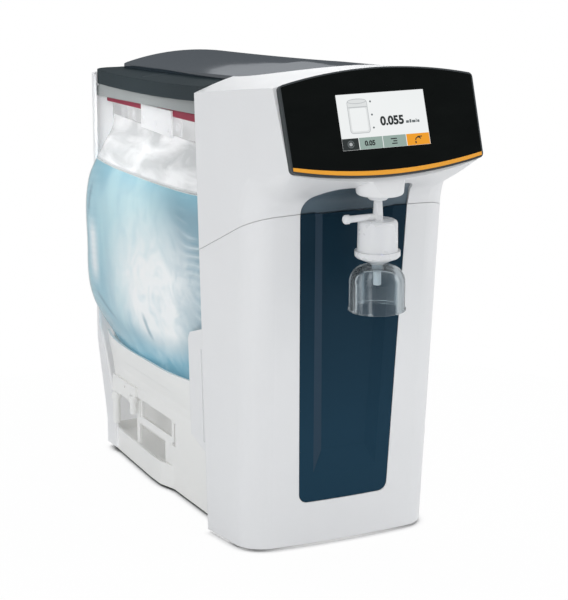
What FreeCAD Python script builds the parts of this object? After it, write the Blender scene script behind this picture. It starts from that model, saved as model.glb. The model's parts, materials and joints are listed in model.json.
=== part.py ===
import FreeCAD, Part
import Sketcher
import math
import os
from FreeCAD import Placement, Rotation, Vector

# Bench-top ultrapure water system: a front housing with an overhanging display head, a recessed
# dispensing panel, a clip-on final filter with its glass bell, a lift-off lid, a water bag in the
# open left bay and the purification train in the right bay.
#
# Frame: millimetres, +Z up, the front faces -Y, +X is the user's right. The origin is the middle
# of the footprint, on the bench.

# Driving sizes. Each is set once and kept in the spreadsheet "dims". Heights written as formulas
# keep their place under the head when the head is made taller or lower.
SIZES = {
    # whole object
    "rear_face": 254.0,
    "side_reach": 140.0,
    "foot_gap": 3.0,
    "head_height": 500.0,
    "chin_drop": 103.5,
    "crest_drop": 9.0,
    "chin_height": "=head_height - chin_drop",
    "crest_height": "=head_height - crest_drop",
    # front housing (head and lower cover share one outer form)
    "housing_rear": 69.0,
    "foot_front": 155.0,
    "front_lean": 24.5,
    "front_bulge": 10.0,
    "chin_corner_height": "=chin_height - 27.5",
    "chin_round": 30.0,
    "chin_reach": 66.0,
    "chin_side_rise": 19.9,
    "display_lean": 35.0,
    "head_side_drop": 17.0,
    "crest_side_drop": 27.0,
    "wall_half_low": 114.0,
    "wall_half_high": 125.0,
    "wall_high_level": 466.0,
    "wall_taper": 0.114,
    "corner_round": 32.0,
    "corner_round_chin": 24.0,
    "corner_round_display": 4.0,
    "housing_wall": 3.0,
    "seam_front_height": "=chin_height - 39",
    "seam_drop": 52.0,
    "seam_gap": 0.5,
    "tab_low": 84.0,
    "tab_high": 222.0,
    "tab_reach": 43.0,
    "tab_thick": 2.5,
    "tab_groove": 1.0,
    # dispensing niche
    "panel_half_top": 60.3,
    "panel_half_foot": 51.0,
    "panel_foot_height": 49.0,
    "panel_round": 10.0,
    "panel_gap": 0.4,
    "panel_lip": 5.0,
    "panel_wall": 2.4,
    "trough_inset_rim": 12.5,
    "trough_inset_field": 26.0,
    "trough_depth": 6.0,
    "trough_foot": 27.0,
    "trough_bevel": 27.0,
    "hood_top": "=chin_height - 9.5",
    "hood_round": 28.0,
    "hood_sink": 1.5,
    # outlet boss, outlet ring and final filter capsule with its bell
    "boss_axis": 228.0,
    "boss_radius": 24.5,
    "boss_foot_radius": 23.0,
    "boss_foot": "=chin_height - 16.5",
    "boss_wall": 2.5,
    "outlet_axis": 224.5,
    "outlet_ring_radius": 10.0,
    "outlet_ring_drop": 5.5,
    "outlet_bore": 4.2,
    "spout_fit": 0.08,
    "spout_grip": 8.0,
    "spout_foot_radius": 5.3,
    "capsule_radius": 20.0,
    "capsule_wall": 1.6,
    "capsule_top": "=boss_foot - 25.5",
    "capsule_foot": "=boss_foot - 56",
    "flange_radius": 22.5,
    "flange_height": 7.0,
    "nozzle_top": "=boss_foot - 69",
    "nozzle_step_radius": 6.8,
    "nozzle_step_height": 7.0,
    "nozzle_radius": 3.9,
    "nozzle_foot": "=boss_foot - 90.7",
    "capsule_bore": 1.5,
    "vent_height": "=boss_foot - 22.5",
    "vent_radius": 3.4,
    "vent_bore": 1.5,
    "vent_reach": 29.0,
    "vent_plug_radius": 4.6,
    "vent_plug_length": 9.0,
    "bell_radius": 27.7,
    "bell_wall": 1.5,
    "bell_top": "=boss_foot - 70.5",
    "bell_rim": "=boss_foot - 116",
    "bell_shoulder": 17.0,
    "bell_fit": 0.1,
    # display
    "display_mid_height": "=chin_height + 57.5",
    "bezel_depth": 7.0,
    "bezel_rim": 1.6,
    "bezel_chin": 1.8,
    "glass_half_top": 103.8,
    "glass_half_foot": 103.0,
    "glass_corner_top": 35.0,
    "glass_rise": 12.0,
    "glass_corner_foot": 41.2,
    "glass_dip": 9.8,
    "glass_thick": 2.4,
    "glass_sink": 0.1,
    "strip_height": 4.5,
    "fit_gap": 0.15,
    "screen_wide": 95.4,
    "screen_tall": 53.6,
    "screen_mid": 2.8,
    "screen_thick": 6.9,
    # lid
    "lid_front_half": 119.0,
    "lid_rear_half": 113.6,
    "lid_front_top": "=crest_height - 18.8",
    "lid_mid_top": "=crest_height - 31.3",
    "lid_rear_top": "=crest_height - 37.3",
    "lid_band": 15.2,
    "lid_wall": 2.6,
    "lid_gap": 0.7,
    "lid_rest_gap": 0.5,
    "lid_rear_gap": 2.8,
    "lid_corner": 28.0,
    "lid_panel_half": 81.0,
    "lid_panel_rear": 231.0,
    "lid_panel_step": 4.6,
    "lid_panel_mid_edge": "=crest_height - 20.7",
    "lid_panel_rear_edge": "=crest_height - 32.4",
    "lid_panel_rear_crown": 11.5,
    "lid_panel_wall": 2.5,
    "tongue_reach": 88.0,
    "tongue_thick": 4.4,
    "tongue_gap": 0.6,
    "tongue_step": 0.15,
    "lid_peg_radius": 3.0,
    "hinge_inset": 14.0,
    "hinge_height": "=crest_height - 43.2",
    "hinge_x": 84.0,
    "hinge_width": 12.0,
    "hinge_pin_radius": 1.5,
    "hinge_fit": 0.05,
    "knuckle_radius": 3.4,
    # rear housing, base tray, frame
    "rear_half": 118.0,
    "rear_foot_half": 99.5,
    "rear_corner": 28.0,
    "rear_wall": 3.0,
    "post_length": 29.0,
    "rear_rim": "=crest_height - 42",
    "tray_top": 29.5,
    "tray_floor": 20.0,
    "tray_wall": 3.0,
    "tray_front_half": 95.0,
    "tray_rear_half": 101.8,
    "foot_radius": 11.0,
    "foot_inset": 24.0,
    "rail_inner_half": 103.0,
    "rail_outer_half": 111.5,
    "rail_height": 15.0,
    "partition_x": 58.0,
    "partition_thick": 3.0,
    # water bag and its hanging bars
    "bar_x": 96.5,
    "bar_thick": 4.0,
    "bar_height": 8.7,
    "bar_rear_top": "=crest_height - 64.7",
    "bar_rise": 11.4,
    "bar_rear": 229.0,
    "bar_front": 62.0,
    "film_gap": 1.0,
    "plate_low": "=bar_rear_top - 23.3",
    "plate_thick": 2.0,
    "plate_front": 41.0,
    "plate_rear": 124.0,
    "bag_gap": 0.2,
    "bag_rear": 222.0,
    "bag_front": 84.0,
    "bag_shelf_top": 124.8,
    "bag_shelf_thick": 3.0,
    "cradle_foot": 86.0,
    "bulkhead_x": 96.0,
    "bulkhead_thick": 3.0,
    # right side cover
    "cover_wall": 2.5,
    "cover_gap": 0.8,
    "cover_foot": 9.0,
    "cover_mid_reach": 140.0,
    "cover_peg_radius": 2.5,
    "cover_peg_fit": 0.1,
    # rear connections
    "recess_low": 44.0,
    "recess_high": 158.0,
    "recess_left": 52.0,
    "recess_right": 92.0,
    "recess_depth": 20.0,
    "recess_wall": 2.0,
    "port_bore": 4.0,
    "port_radius": 9.0,
    "port_length": 15.0,
    "switch_wide": 14.0,
    "switch_tall": 21.0,
    "switch_pivot_radius": 1.5,
    # purification train
    "cartridge_radius": 33.0,
    "cartridge_foot": 112.0,
    "cartridge_length": 250.0,
    "cartridge_x": 66.0,
    "cartridge_front_y": 6.0,
    "cartridge_pitch": 84.0,
    "cap_length": 16.0,
    "cap_fit": 0.08,
    "holder_thick": 4.0,
    "tube_radius": 4.0,
    "tube_bend": 14.0,
    "module_radius": 26.0,
    "reactor_radius": 17.0,
    "motor_radius": 24.0,
    "motor_length": 74.0,
    "pump_radius": 27.0,
    "pump_length": 30.0,
    "pump_axis_height": 52.0,
    "rotor_radius": 19.0,
    "rotor_fit": 0.6,
    "shaft_radius": 4.0,
    "shaft_fit": 0.05,
}

doc = FreeCAD.newDocument("WaterSystem")
sheet = doc.addObject("Spreadsheet::Sheet", "dims")
for row, (name, number) in enumerate(SIZES.items(), start=1):
    sheet.set("A%d" % row, name)
    sheet.set("B%d" % row, str(number))
    sheet.setAlias("B%d" % row, name)
doc.recompute()


# ---------------------------------------------------------------------------------------------
# Sizes as formulas
# ---------------------------------------------------------------------------------------------

class Size:
    """A length that knows its number and the spreadsheet formula that drives it."""

    def __init__(self, value, formula):
        self.value = float(value)
        self.formula = formula

    def mix(self, other, sign, swap=False):
        other = as_size(other)
        first, second = (other, self) if swap else (self, other)
        results = {
            "+": lambda a, b: a + b,
            "-": lambda a, b: a - b,
            "*": lambda a, b: a * b,
            "/": lambda a, b: a / b,
        }
        value = results[sign](first.value, second.value)
        return Size(value, "(%s %s %s)" % (first.formula, sign, second.formula))

    def __add__(self, other):
        return self.mix(other, "+")

    def __radd__(self, other):
        return self.mix(other, "+", swap=True)

    def __sub__(self, other):
        return self.mix(other, "-")

    def __rsub__(self, other):
        return self.mix(other, "-", swap=True)

    def __mul__(self, other):
        return self.mix(other, "*")

    def __rmul__(self, other):
        return self.mix(other, "*", swap=True)

    def __truediv__(self, other):
        return self.mix(other, "/")

    def __neg__(self):
        return self.mix(-1.0, "*")


def as_size(value):
    if isinstance(value, Size):
        return value
    return Size(value, "(%.6f)" % value)


class Dims:
    """Spreadsheet cells by name, as sizes with formulas."""

    def __getattr__(self, name):
        return Size(sheet.get(name), "dims." + name)


class Numbers:
    """Spreadsheet cells by name, as plain numbers for shapes that Part builds."""

    def __getattr__(self, name):
        return float(sheet.get(name))


d = Dims()
n = Numbers()


# ---------------------------------------------------------------------------------------------
# Bodies and sketches
# ---------------------------------------------------------------------------------------------

pieces = []


def new_body(label, x=0.0, y=0.0, z=0.0):
    body = doc.addObject("PartDesign::Body", label)
    body.Label = label
    for axis, value in zip("xyz", (x, y, z)):
        body.setExpression("Placement.Base." + axis, as_size(value).formula)
    pieces.append(body)
    return body


def new_sketch(body, plane, offset=0.0):
    sketch = body.newObject("Sketcher::SketchObject", body.Label + "_sketch")
    origin_plane = [item for item in body.Origin.OriginFeatures if item.Role == plane][0]
    sketch.AttachmentSupport = [(origin_plane, "")]
    sketch.MapMode = "FlatFace"
    sketch.setExpression("AttachmentOffset.Base.z", as_size(offset).formula)
    return sketch


def fix_point(sketch, geometry, vertex, x, y):
    for kind, value in (("DistanceX", as_size(x)), ("DistanceY", as_size(y))):
        index = sketch.addConstraint(Sketcher.Constraint(kind, -1, 1, geometry, vertex, value.value))
        sketch.setExpression("Constraints[%d]" % index, value.formula)


def draw_polygon(sketch, corners):
    """A closed outline of straight lines through corners, each corner driven by the sheet."""
    first = sketch.GeometryCount
    count = len(corners)
    points = [Vector(as_size(x).value, as_size(y).value, 0) for x, y in corners]
    for i in range(count):
        sketch.addGeometry(Part.LineSegment(points[i], points[(i + 1) % count]), False)
    for i in range(count):
        following = first + (i + 1) % count
        sketch.addConstraint(Sketcher.Constraint("Coincident", first + i, 2, following, 1))
    for i, (x, y) in enumerate(corners):
        fix_point(sketch, first + i, 1, x, y)


def draw_box(sketch, x_low, x_high, y_low, y_high):
    draw_polygon(sketch, [(x_low, y_low), (x_high, y_low), (x_high, y_high), (x_low, y_high)])


def draw_circle(sketch, x, y, radius):
    radius = as_size(radius)
    centre = Vector(as_size(x).value, as_size(y).value, 0)
    circle = sketch.addGeometry(Part.Circle(centre, Vector(0, 0, 1), radius.value), False)
    fix_point(sketch, circle, 3, x, y)
    index = sketch.addConstraint(Sketcher.Constraint("Radius", circle, radius.value))
    sketch.setExpression("Constraints[%d]" % index, radius.formula)


def draw_bowed(sketch, half_top, top, rise, half_foot, foot, dip):
    """A four-sided outline whose upper side bows up by rise and lower side bows down by dip."""
    half_top, top, rise = as_size(half_top), as_size(top), as_size(rise)
    half_foot, foot, dip = as_size(half_foot), as_size(foot), as_size(dip)
    right_top = Vector(half_top.value, top.value, 0)
    left_top = Vector(-half_top.value, top.value, 0)
    left_foot = Vector(-half_foot.value, foot.value, 0)
    right_foot = Vector(half_foot.value, foot.value, 0)
    crown = Part.Arc(right_top, Vector(0, top.value + rise.value, 0), left_top)
    keel = Part.Arc(left_foot, Vector(0, foot.value - dip.value, 0), right_foot)
    top_arc = sketch.addGeometry(crown, False)
    left_line = sketch.addGeometry(Part.LineSegment(left_top, left_foot), False)
    foot_arc = sketch.addGeometry(keel, False)
    right_line = sketch.addGeometry(Part.LineSegment(right_foot, right_top), False)
    for one, other in ((top_arc, left_line), (left_line, foot_arc), (foot_arc, right_line),
                       (right_line, top_arc)):
        sketch.addConstraint(Sketcher.Constraint("Coincident", one, 2, other, 1))
    fix_point(sketch, left_line, 1, -half_top, top)
    fix_point(sketch, left_line, 2, -half_foot, foot)
    fix_point(sketch, right_line, 1, half_foot, foot)
    fix_point(sketch, right_line, 2, half_top, top)
    for arc, half, bow in ((top_arc, half_top, rise), (foot_arc, half_foot, dip)):
        radius = (half * half + bow * bow) / (2.0 * bow)
        index = sketch.addConstraint(Sketcher.Constraint("Radius", arc, radius.value))
        sketch.setExpression("Constraints[%d]" % index, radius.formula)


def pad(body, sketch, length, back=False):
    feature = body.newObject("PartDesign::Pad", body.Label + "_pad")
    feature.Profile = sketch
    feature.Reversed = back
    feature.setExpression("Length", as_size(length).formula)
    doc.recompute()
    return feature


def pocket(body, sketch, length, back=False):
    """Cut a sketch into the body, and check that material really went."""
    before = body.Shape.Volume
    feature = body.newObject("PartDesign::Pocket", body.Label + "_pocket")
    feature.Profile = sketch
    feature.Reversed = back
    feature.setExpression("Length", as_size(length).formula)
    doc.recompute()
    if body.Shape.Volume > before - 1e-3:
        raise RuntimeError("the pocket in %s cuts nothing" % body.Label)
    return feature


def revolve(body, sketch):
    feature = body.newObject("PartDesign::Revolution", body.Label + "_revolution")
    feature.Profile = sketch
    feature.ReferenceAxis = (sketch, ["V_Axis"])
    feature.Angle = 360.0
    doc.recompute()
    return feature


def round_edges(body, radius, chosen):
    """Fillet the edges of the body's last feature that the test chosen(edge) picks."""
    base = body.Tip
    names = ["Edge%d" % i for i, edge in enumerate(base.Shape.Edges, start=1) if chosen(edge)]
    feature = body.newObject("PartDesign::Fillet", body.Label + "_fillet")
    feature.Base = (base, names)
    feature.setExpression("Radius", as_size(radius).formula)
    body.Tip = feature
    doc.recompute()
    return feature


def chamfer_edges(body, amount, chosen):
    base = body.Tip
    names = ["Edge%d" % i for i, edge in enumerate(base.Shape.Edges, start=1) if chosen(edge)]
    feature = body.newObject("PartDesign::Chamfer", body.Label + "_chamfer")
    feature.Base = (base, names)
    feature.setExpression("Size", as_size(amount).formula)
    body.Tip = feature
    doc.recompute()
    return feature


def is_upright(edge):
    box = edge.BoundBox
    return box.XLength < 1e-3 and box.YLength < 1e-3 and box.ZLength > 1e-3


def runs_along_y(edge):
    box = edge.BoundBox
    return box.XLength < 1e-3 and box.ZLength < 1e-3 and box.YLength > 1e-3


def revolved(label, profile, x=0.0, y=0.0, z=0.0):
    """A turned piece from corners (radius, height), standing at x, y, z."""
    body = new_body(label, x, y, z)
    sketch = new_sketch(body, "XZ_Plane")
    draw_polygon(sketch, profile)
    revolve(body, sketch)
    return body


def block(label, x_low, x_high, y_low, y_high, z_low, z_high):
    """A plain block between the given limits, ready for more features."""
    body = new_body(label)
    sketch = new_sketch(body, "XY_Plane", z_low)
    draw_box(sketch, x_low, x_high, y_low, y_high)
    pad(body, sketch, as_size(z_high) - z_low)
    return body


def new_feature(label, shape):
    """A piece whose shape Part's functions make from the sheet's sizes."""
    solids = shape.Solids
    if len(solids) == 1:
        shape = solids[0]
    feature = doc.addObject("Part::Feature", label)
    feature.Label = label
    feature.Shape = shape
    feature.Placement = Placement()
    pieces.append(feature)
    return feature


# ---------------------------------------------------------------------------------------------
# Shapes that Part builds: shared tools
# ---------------------------------------------------------------------------------------------

FAR = 400.0


def face_of(points):
    return Part.Face(Part.makePolygon(points + [points[0]]))


def prism_x(outline, x_low, x_high):
    """An outline of (y, z) corners swept along X."""
    face = face_of([Vector(x_low, y, z) for y, z in outline])
    return face.extrude(Vector(x_high - x_low, 0, 0))


def prism_y(outline, y_low, y_high):
    """An outline of (x, z) corners swept along Y."""
    face = face_of([Vector(x, y_low, z) for x, z in outline])
    return face.extrude(Vector(0, y_high - y_low, 0))


def box_between(x_low, x_high, y_low, y_high, z_low, z_high):
    corner = Vector(x_low, y_low, z_low)
    return Part.makeBox(x_high - x_low, y_high - y_low, z_high - z_low, corner)


def rounded_plan(half, front, rear, corner, z_low, z_high):
    """An upright block from y = front to y = rear with its two rear corners rounded."""
    solid = box_between(-half, half, front, rear, z_low, z_high)
    edges = [e for e in solid.Edges if is_upright(e) and e.BoundBox.Center.y > rear - 1e-3]
    return solid.makeFillet(corner, edges)


def three_point_height(y, points):
    """Height at y of the parabola through three (y, height) points."""
    (y0, z0), (y1, z1), (y2, z2) = points
    share0 = (y - y1) * (y - y2) / ((y0 - y1) * (y0 - y2))
    share1 = (y - y0) * (y - y2) / ((y1 - y0) * (y1 - y2))
    share2 = (y - y0) * (y - y1) / ((y2 - y0) * (y2 - y1))
    return z0 * share0 + z1 * share1 + z2 * share2


# ---------------------------------------------------------------------------------------------
# The outer form of the front housing
# ---------------------------------------------------------------------------------------------

REAR_Y = -n.housing_rear
STATION = n.wall_half_high + 5.0
FOOT_Z = n.foot_gap
LID_FRONT = REAR_Y + n.lid_gap
LID_REAR = n.rear_face - n.rear_wall - n.lid_rear_gap


def lid_line(y):
    """Height of the band's upper edge."""
    middle = 0.5 * (LID_FRONT + LID_REAR)
    return three_point_height(y, [(LID_FRONT, n.lid_front_top), (middle, n.lid_mid_top),
                                  (LID_REAR, n.lid_rear_top)])


def rail_top(y):
    return lid_line(y) - n.lid_band - n.lid_rest_gap


def chin_corner(x, inset):
    share = (x / STATION) ** 2
    y = -(n.foot_front + n.front_lean) + n.front_bulge * share + inset
    return y, n.chin_corner_height + 0.6 * inset


def display_slope():
    """How far the display plane falls back for each millimetre of height."""
    return n.display_lean / (n.head_height - n.chin_height)


def display_foot(x, inset):
    rise = n.chin_side_rise * (x / STATION) ** 2
    y = -(n.foot_front + n.front_lean + n.chin_reach) + rise * display_slope()
    return y + 0.6 * inset, n.chin_height + rise + inset


def display_head(x, inset):
    drop = n.head_side_drop * (x / STATION) ** 2
    y = display_foot(0.0, 0.0)[0] + n.display_lean - drop * display_slope()
    return y + inset, n.head_height - drop - inset


def side_section(x, inset):
    """The housing's side view at one x: front face, concave chin, display plane, sloping top."""
    share = (x / STATION) ** 2
    foot = Vector(x, -n.foot_front + n.front_bulge * share + inset, FOOT_Z)
    corner = Vector(x, *chin_corner(x, inset))
    low = Vector(x, *display_foot(x, inset))
    high = Vector(x, *display_head(x, inset))
    crest = Vector(x, REAR_Y, n.crest_height - n.crest_side_drop * share - inset)
    heel = Vector(x, REAR_Y, FOOT_Z)
    radius = n.chin_round + inset
    down = (foot - corner).normalize()
    out = (low - corner).normalize()
    half_turn = math.acos(down.dot(out)) / 2.0
    reach = radius / math.tan(half_turn)
    start = corner + down * reach
    end = corner + out * reach
    bisector = (down + out).normalize()
    middle = corner + bisector * (radius / math.sin(half_turn) - radius)
    edges = [
        Part.LineSegment(heel, foot).toShape(),
        Part.LineSegment(foot, start).toShape(),
        Part.Arc(start, middle, end).toShape(),
        Part.LineSegment(end, low).toShape(),
        Part.LineSegment(low, high).toShape(),
        Part.LineSegment(high, crest).toShape(),
        Part.LineSegment(crest, heel).toShape(),
    ]
    return Part.Wire(edges)


def wall_half(z):
    """Half width of the housing at its rear edge, which widens with height."""
    slope = (n.wall_half_high - n.wall_half_low) / n.wall_high_level
    return n.wall_half_low + slope * z


def wall_block(inset):
    """The space between the two side walls, which lean outwards and close in to the front."""
    y_rear = REAR_Y + 9.0
    y_front = -(n.foot_front + n.front_lean + n.chin_reach + 23.5)

    def ring(z):
        half_rear = wall_half(z) - inset + n.wall_taper * (y_rear - REAR_Y)
        half_front = wall_half(z) - inset - n.wall_taper * (REAR_Y - y_front)
        corners = [(-half_rear, y_rear), (-half_front, y_front), (half_front, y_front),
                   (half_rear, y_rear)]
        points = [Vector(x, y, z) for x, y in corners]
        return Part.makePolygon(points + [points[0]])

    return Part.makeLoft([ring(-5.0), ring(n.head_height + 20.0)], True, True)


def plain_form(inset):
    """The housing's form, inset millimetres inside the outer surface, with sharp side edges."""
    sections = [side_section(x, inset) for x in (-STATION, 0.0, STATION)]
    core = Part.makeLoft(sections, True, False)
    return core.common(wall_block(inset)).Solids[0]


def soft_form(inset):
    """The same form with its front edges rounded: wide on the cover, tight at the display."""
    base = doc.addObject("Part::Feature", "form_%d" % round(10 * inset))
    base.Shape = plain_form(inset)
    corner_z = chin_corner(0.0, inset)[1]
    side_x = 0.75 * n.wall_half_high
    display_z = n.chin_height + 0.25 * (n.head_height - n.chin_height)
    display_y = -(n.foot_front + n.front_lean)
    chosen = []
    for index, edge in enumerate(base.Shape.Edges, start=1):
        box = edge.BoundBox
        beside = abs(box.Center.x) > side_x and box.XLength < 0.2 * side_x
        if not beside or box.YMax > REAR_Y - 5.0:
            continue
        if box.ZMax < corner_z - 5.0 and box.ZMin < FOOT_Z + 1.0:
            radii = (n.corner_round, n.corner_round)
        elif box.ZMin < corner_z - 5.0 and box.ZMax > corner_z:
            radii = (n.corner_round, n.corner_round_chin)
        elif box.ZMin > corner_z and box.ZMax < display_z + 10.0 and box.YMin < display_y:
            radii = (n.corner_round_chin, n.corner_round_display)
        else:
            continue
        low_radius, high_radius = (radii[0] - 0.9 * inset, max(radii[1] - 0.9 * inset, 1.0))
        starts_low = edge.Vertexes[0].Point.z < edge.Vertexes[-1].Point.z
        first, second = (low_radius, high_radius) if starts_low else (high_radius, low_radius)
        chosen.append((index, first, second))
    rounded = doc.addObject("Part::Fillet", "soft_form_%d" % round(10 * inset))
    rounded.Base = base
    rounded.Edges = chosen
    doc.recompute()
    return rounded.Shape.Solids[0]


def seam_height(y):
    front_y = chin_corner(0.0, 0.0)[0]
    return n.seam_front_height + n.seam_drop * (front_y - y) / (REAR_Y - front_y)


def above_seam(gap):
    """Everything above the sloping joint between head and lower cover."""
    outline = [(-FAR, seam_height(-FAR) + gap), (FAR, seam_height(FAR) + gap), (FAR, 2 * FAR),
               (-FAR, 2 * FAR)]
    return prism_x(outline, -FAR, FAR)


outer_form = soft_form(0.0)
inner_form = soft_form(n.housing_wall)
housing_shell = outer_form.cut(inner_form)


def niche_outline(margin):
    """The dispensing panel's outline, narrower at the foot, and the hood's above the seam."""
    level = n.seam_front_height
    corner = n.hood_round + margin
    top = n.hood_top + margin
    half_top = n.panel_half_top + margin
    half_foot = n.panel_half_foot + margin
    foot = n.panel_foot_height - margin
    lower = [(-half_top, level), (-half_foot, foot), (half_foot, foot), (half_top, level)]
    panel = prism_y(lower, -FAR, 0.0)
    edges = [e for e in panel.Edges if runs_along_y(e) and e.BoundBox.Center.z < foot + 1.0]
    panel = panel.makeFillet(n.panel_round + margin, edges)
    hood = box_between(-half_top, half_top, -FAR, 0.0, level, top)
    edges = [e for e in hood.Edges if runs_along_y(e) and e.BoundBox.Center.z > top - 1.0]
    hood = hood.makeFillet(min(corner, top - level - 1.0), edges)
    return panel.fuse(hood).removeSplitter()


def make_front_cover():
    """The lower front cover: a shell with the panel's opening and a grip tab on each side."""
    shell = housing_shell.cut(above_seam(-0.5 * n.seam_gap))
    shell = shell.cut(niche_outline(0.0))
    slope = (n.tab_high - n.tab_low) * 0.09
    y_front = REAR_Y - 6.0
    y_rear = REAR_Y + n.tab_reach
    outline = [(y_front, n.tab_low), (REAR_Y, n.tab_low), (y_rear, n.tab_low + slope),
               (y_rear, n.tab_high - 1.6 * slope), (y_rear - 5.0, n.tab_high - slope),
               (REAR_Y, n.tab_high), (y_front, n.tab_high)]
    groove = [(REAR_Y + 3.0, n.tab_low + slope), (REAR_Y + 11.0, n.tab_low + slope),
              (REAR_Y + 11.0, n.tab_high - 2.0 * slope), (REAR_Y + 3.0, n.tab_high - 2.0 * slope)]
    lean = (n.wall_half_high - n.wall_half_low) / n.wall_high_level
    for side in (-1.0, 1.0):
        x_low = wall_half(n.tab_low) - n.housing_wall - n.tab_thick
        tab = prism_x(outline, x_low, x_low + n.tab_thick)
        tab = tab.cut(prism_x(groove, x_low + n.tab_thick - n.tab_groove, x_low + 9.0))
        tab.rotate(Vector(x_low, 0, n.tab_low), Vector(0, 1, 0), math.degrees(math.atan(lean)))
        if side < 0.0:
            tab = tab.mirror(Vector(0, 0, 0), Vector(1, 0, 0))
        shell = shell.fuse(tab)
        inner, outer = n.tray_front_half, wall_half(0.0)
        x_low, x_high = (inner, outer) if side > 0.0 else (-outer, -inner)
        bracket = box_between(x_low, x_high, -(n.foot_front - 30.0), -(n.foot_front - 45.0),
                              n.foot_gap + 5.0, n.tray_top - 4.0)
        shell = shell.fuse(bracket.common(outer_form))
    new_feature("front_cover", shell.removeSplitter())


def boss_cone(grow, z_low, z_high):
    """The outlet boss's cone, grown by grow, between two heights."""
    slope = (n.boss_radius - n.boss_foot_radius) / (n.chin_height - n.boss_foot)
    low = n.boss_foot_radius + slope * (z_low - n.boss_foot) + grow
    high = n.boss_foot_radius + slope * (z_high - n.boss_foot) + grow
    return Part.makeCone(low, high, z_high - z_low, Vector(0, -n.boss_axis, z_low))


def tongue_prism(grow):
    """An upright elliptic block: the part of the lid's panel that reaches into the head."""
    half = n.lid_panel_half + grow
    reach = n.tongue_reach + grow
    ellipse = Part.Ellipse(Vector(0, REAR_Y, 300.0), max(half, reach), min(half, reach))
    edge = ellipse.toShape()
    if reach > half:
        edge.rotate(Vector(0, REAR_Y, 300.0), Vector(0, 0, 1), 90.0)
    return Part.Face(Part.Wire([edge])).extrude(Vector(0, 0, 300.0))


def display_window():
    """The opening behind the screen, square to the display plane."""
    half_wide = n.screen_wide / 2.0 + 4.0
    half_tall = n.screen_tall / 2.0 + 4.0
    window = box_between(-half_wide, half_wide, -6.0, 12.0, -half_tall, half_tall)
    window.translate(Vector(0, 0, -n.screen_mid))
    return on_display_plane(window)


def display_tilt():
    return math.degrees(math.atan(display_slope()))


def on_display_plane(shape):
    """Move a shape from a local frame, Y into the head, to the back of the display."""
    tilt = math.radians(display_tilt())
    y = display_foot(0.0, 0.0)[0] + (n.display_mid_height - n.chin_height) * math.tan(tilt)
    shape = shape.copy()
    shape.rotate(Vector(0, 0, 0), Vector(1, 0, 0), -display_tilt())
    shape.translate(Vector(0, y, n.display_mid_height))
    return shape


def make_head_cover():
    """The display head: concave chin, outlet boss, arched hood opening and the lid's recess."""
    shell = housing_shell.common(above_seam(0.5 * n.seam_gap))
    shell = shell.cut(niche_outline(0.0))
    recess_floor = n.tongue_thick + n.tongue_gap
    recess = plain_form(0.0).cut(plain_form(recess_floor + n.housing_wall))
    recess = recess.common(tongue_prism(n.tongue_gap + 3.0))
    recess = recess.common(box_between(-FAR, FAR, -FAR, REAR_Y, n.crest_height - 60.0, 2 * FAR))
    shell = shell.fuse(recess)
    shell = shell.cut(tongue_prism(n.tongue_gap).cut(plain_form(recess_floor)))
    boss = boss_cone(0.0, n.boss_foot, n.chin_height + 20.0)
    foot_edges = [e for e in boss.Edges if e.BoundBox.ZMax < n.boss_foot + 0.1]
    boss = boss.makeFillet(3.0, foot_edges)
    boss = boss.cut(plain_form(n.housing_wall))
    hollow = boss_cone(-n.boss_wall, n.boss_foot + n.boss_wall, n.chin_height + 20.0)
    hollow = hollow.common(outside_display(n.boss_wall))
    shell = shell.fuse(boss.common(outside_display(0.0))).cut(hollow)
    bore = Part.makeCylinder(n.outlet_ring_radius - 2.0, 40.0,
                             Vector(0, -n.outlet_axis, n.boss_foot - 5.0))
    shell = shell.cut(bore)
    shell = shell.cut(display_window())
    level = rail_top(REAR_Y) - 0.5 * n.rail_height
    reach = wall_half(level) - n.housing_wall - 16.0 * n.wall_taper + 0.6
    for side in (-1.0, 1.0):
        x_low, x_high = sorted((side * (n.rail_inner_half + 1.0), side * reach))
        shell = shell.fuse(box_between(x_low, x_high, REAR_Y - 16.0, REAR_Y + 1.5,
                                       level - 5.0, level + 5.0))
    new_feature("head_cover", shell.removeSplitter())


def outside_display(depth):
    """The half of space that lies depth millimetres or more behind the display plane."""
    return on_display_plane(box_between(-FAR, FAR, depth, 2 * FAR, -FAR, FAR))


def trough_block(grow, depth):
    """The shallow tapered trough in the panel, with bevelled sides and foot."""
    lean = math.degrees(math.atan(n.front_lean / (n.chin_corner_height - FOOT_Z)))

    def ring(y, side_inset, low):
        top_half = n.panel_half_top - side_inset + grow
        low_half = n.panel_half_foot - side_inset + grow
        top = n.seam_front_height + 20.0
        points = [Vector(-top_half, y, top), Vector(-low_half, y, low), Vector(low_half, y, low),
                  Vector(top_half, y, top)]
        return Part.makePolygon(points + [points[0]])

    rim_low = n.panel_foot_height + n.trough_foot
    field_low = rim_low + n.trough_bevel
    share = 2.0 / depth
    rim_inset = n.trough_inset_rim - share * (n.trough_inset_field - n.trough_inset_rim)
    front = ring(-2.0, rim_inset, rim_low - share * n.trough_bevel - grow)
    back = ring(depth, n.trough_inset_field, field_low - grow)
    solid = Part.makeLoft([front, back], True, True)
    solid.rotate(Vector(0, 0, FOOT_Z), Vector(1, 0, 0), lean)
    solid.translate(Vector(0, -n.foot_front, 0))
    return solid


def make_niche_panel():
    """The dark panel of the dispensing niche, with its trough and a lip behind the cover."""
    below = above_seam(-0.5 * n.seam_gap)
    gap = n.panel_gap
    back = n.housing_wall + n.panel_wall
    face = plain_form(gap).cut(plain_form(back)).common(niche_outline(-gap))
    lip = plain_form(n.housing_wall).cut(plain_form(back)).common(niche_outline(n.panel_lip))
    pan = trough_block(n.panel_wall, n.trough_depth + n.panel_wall)
    pan = pan.common(plain_form(gap)).common(niche_outline(-gap))
    panel = face.fuse(lip).fuse(pan).cut(below)
    panel = panel.cut(trough_block(0.0, n.trough_depth))
    new_feature("niche_panel", panel.removeSplitter())


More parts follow.
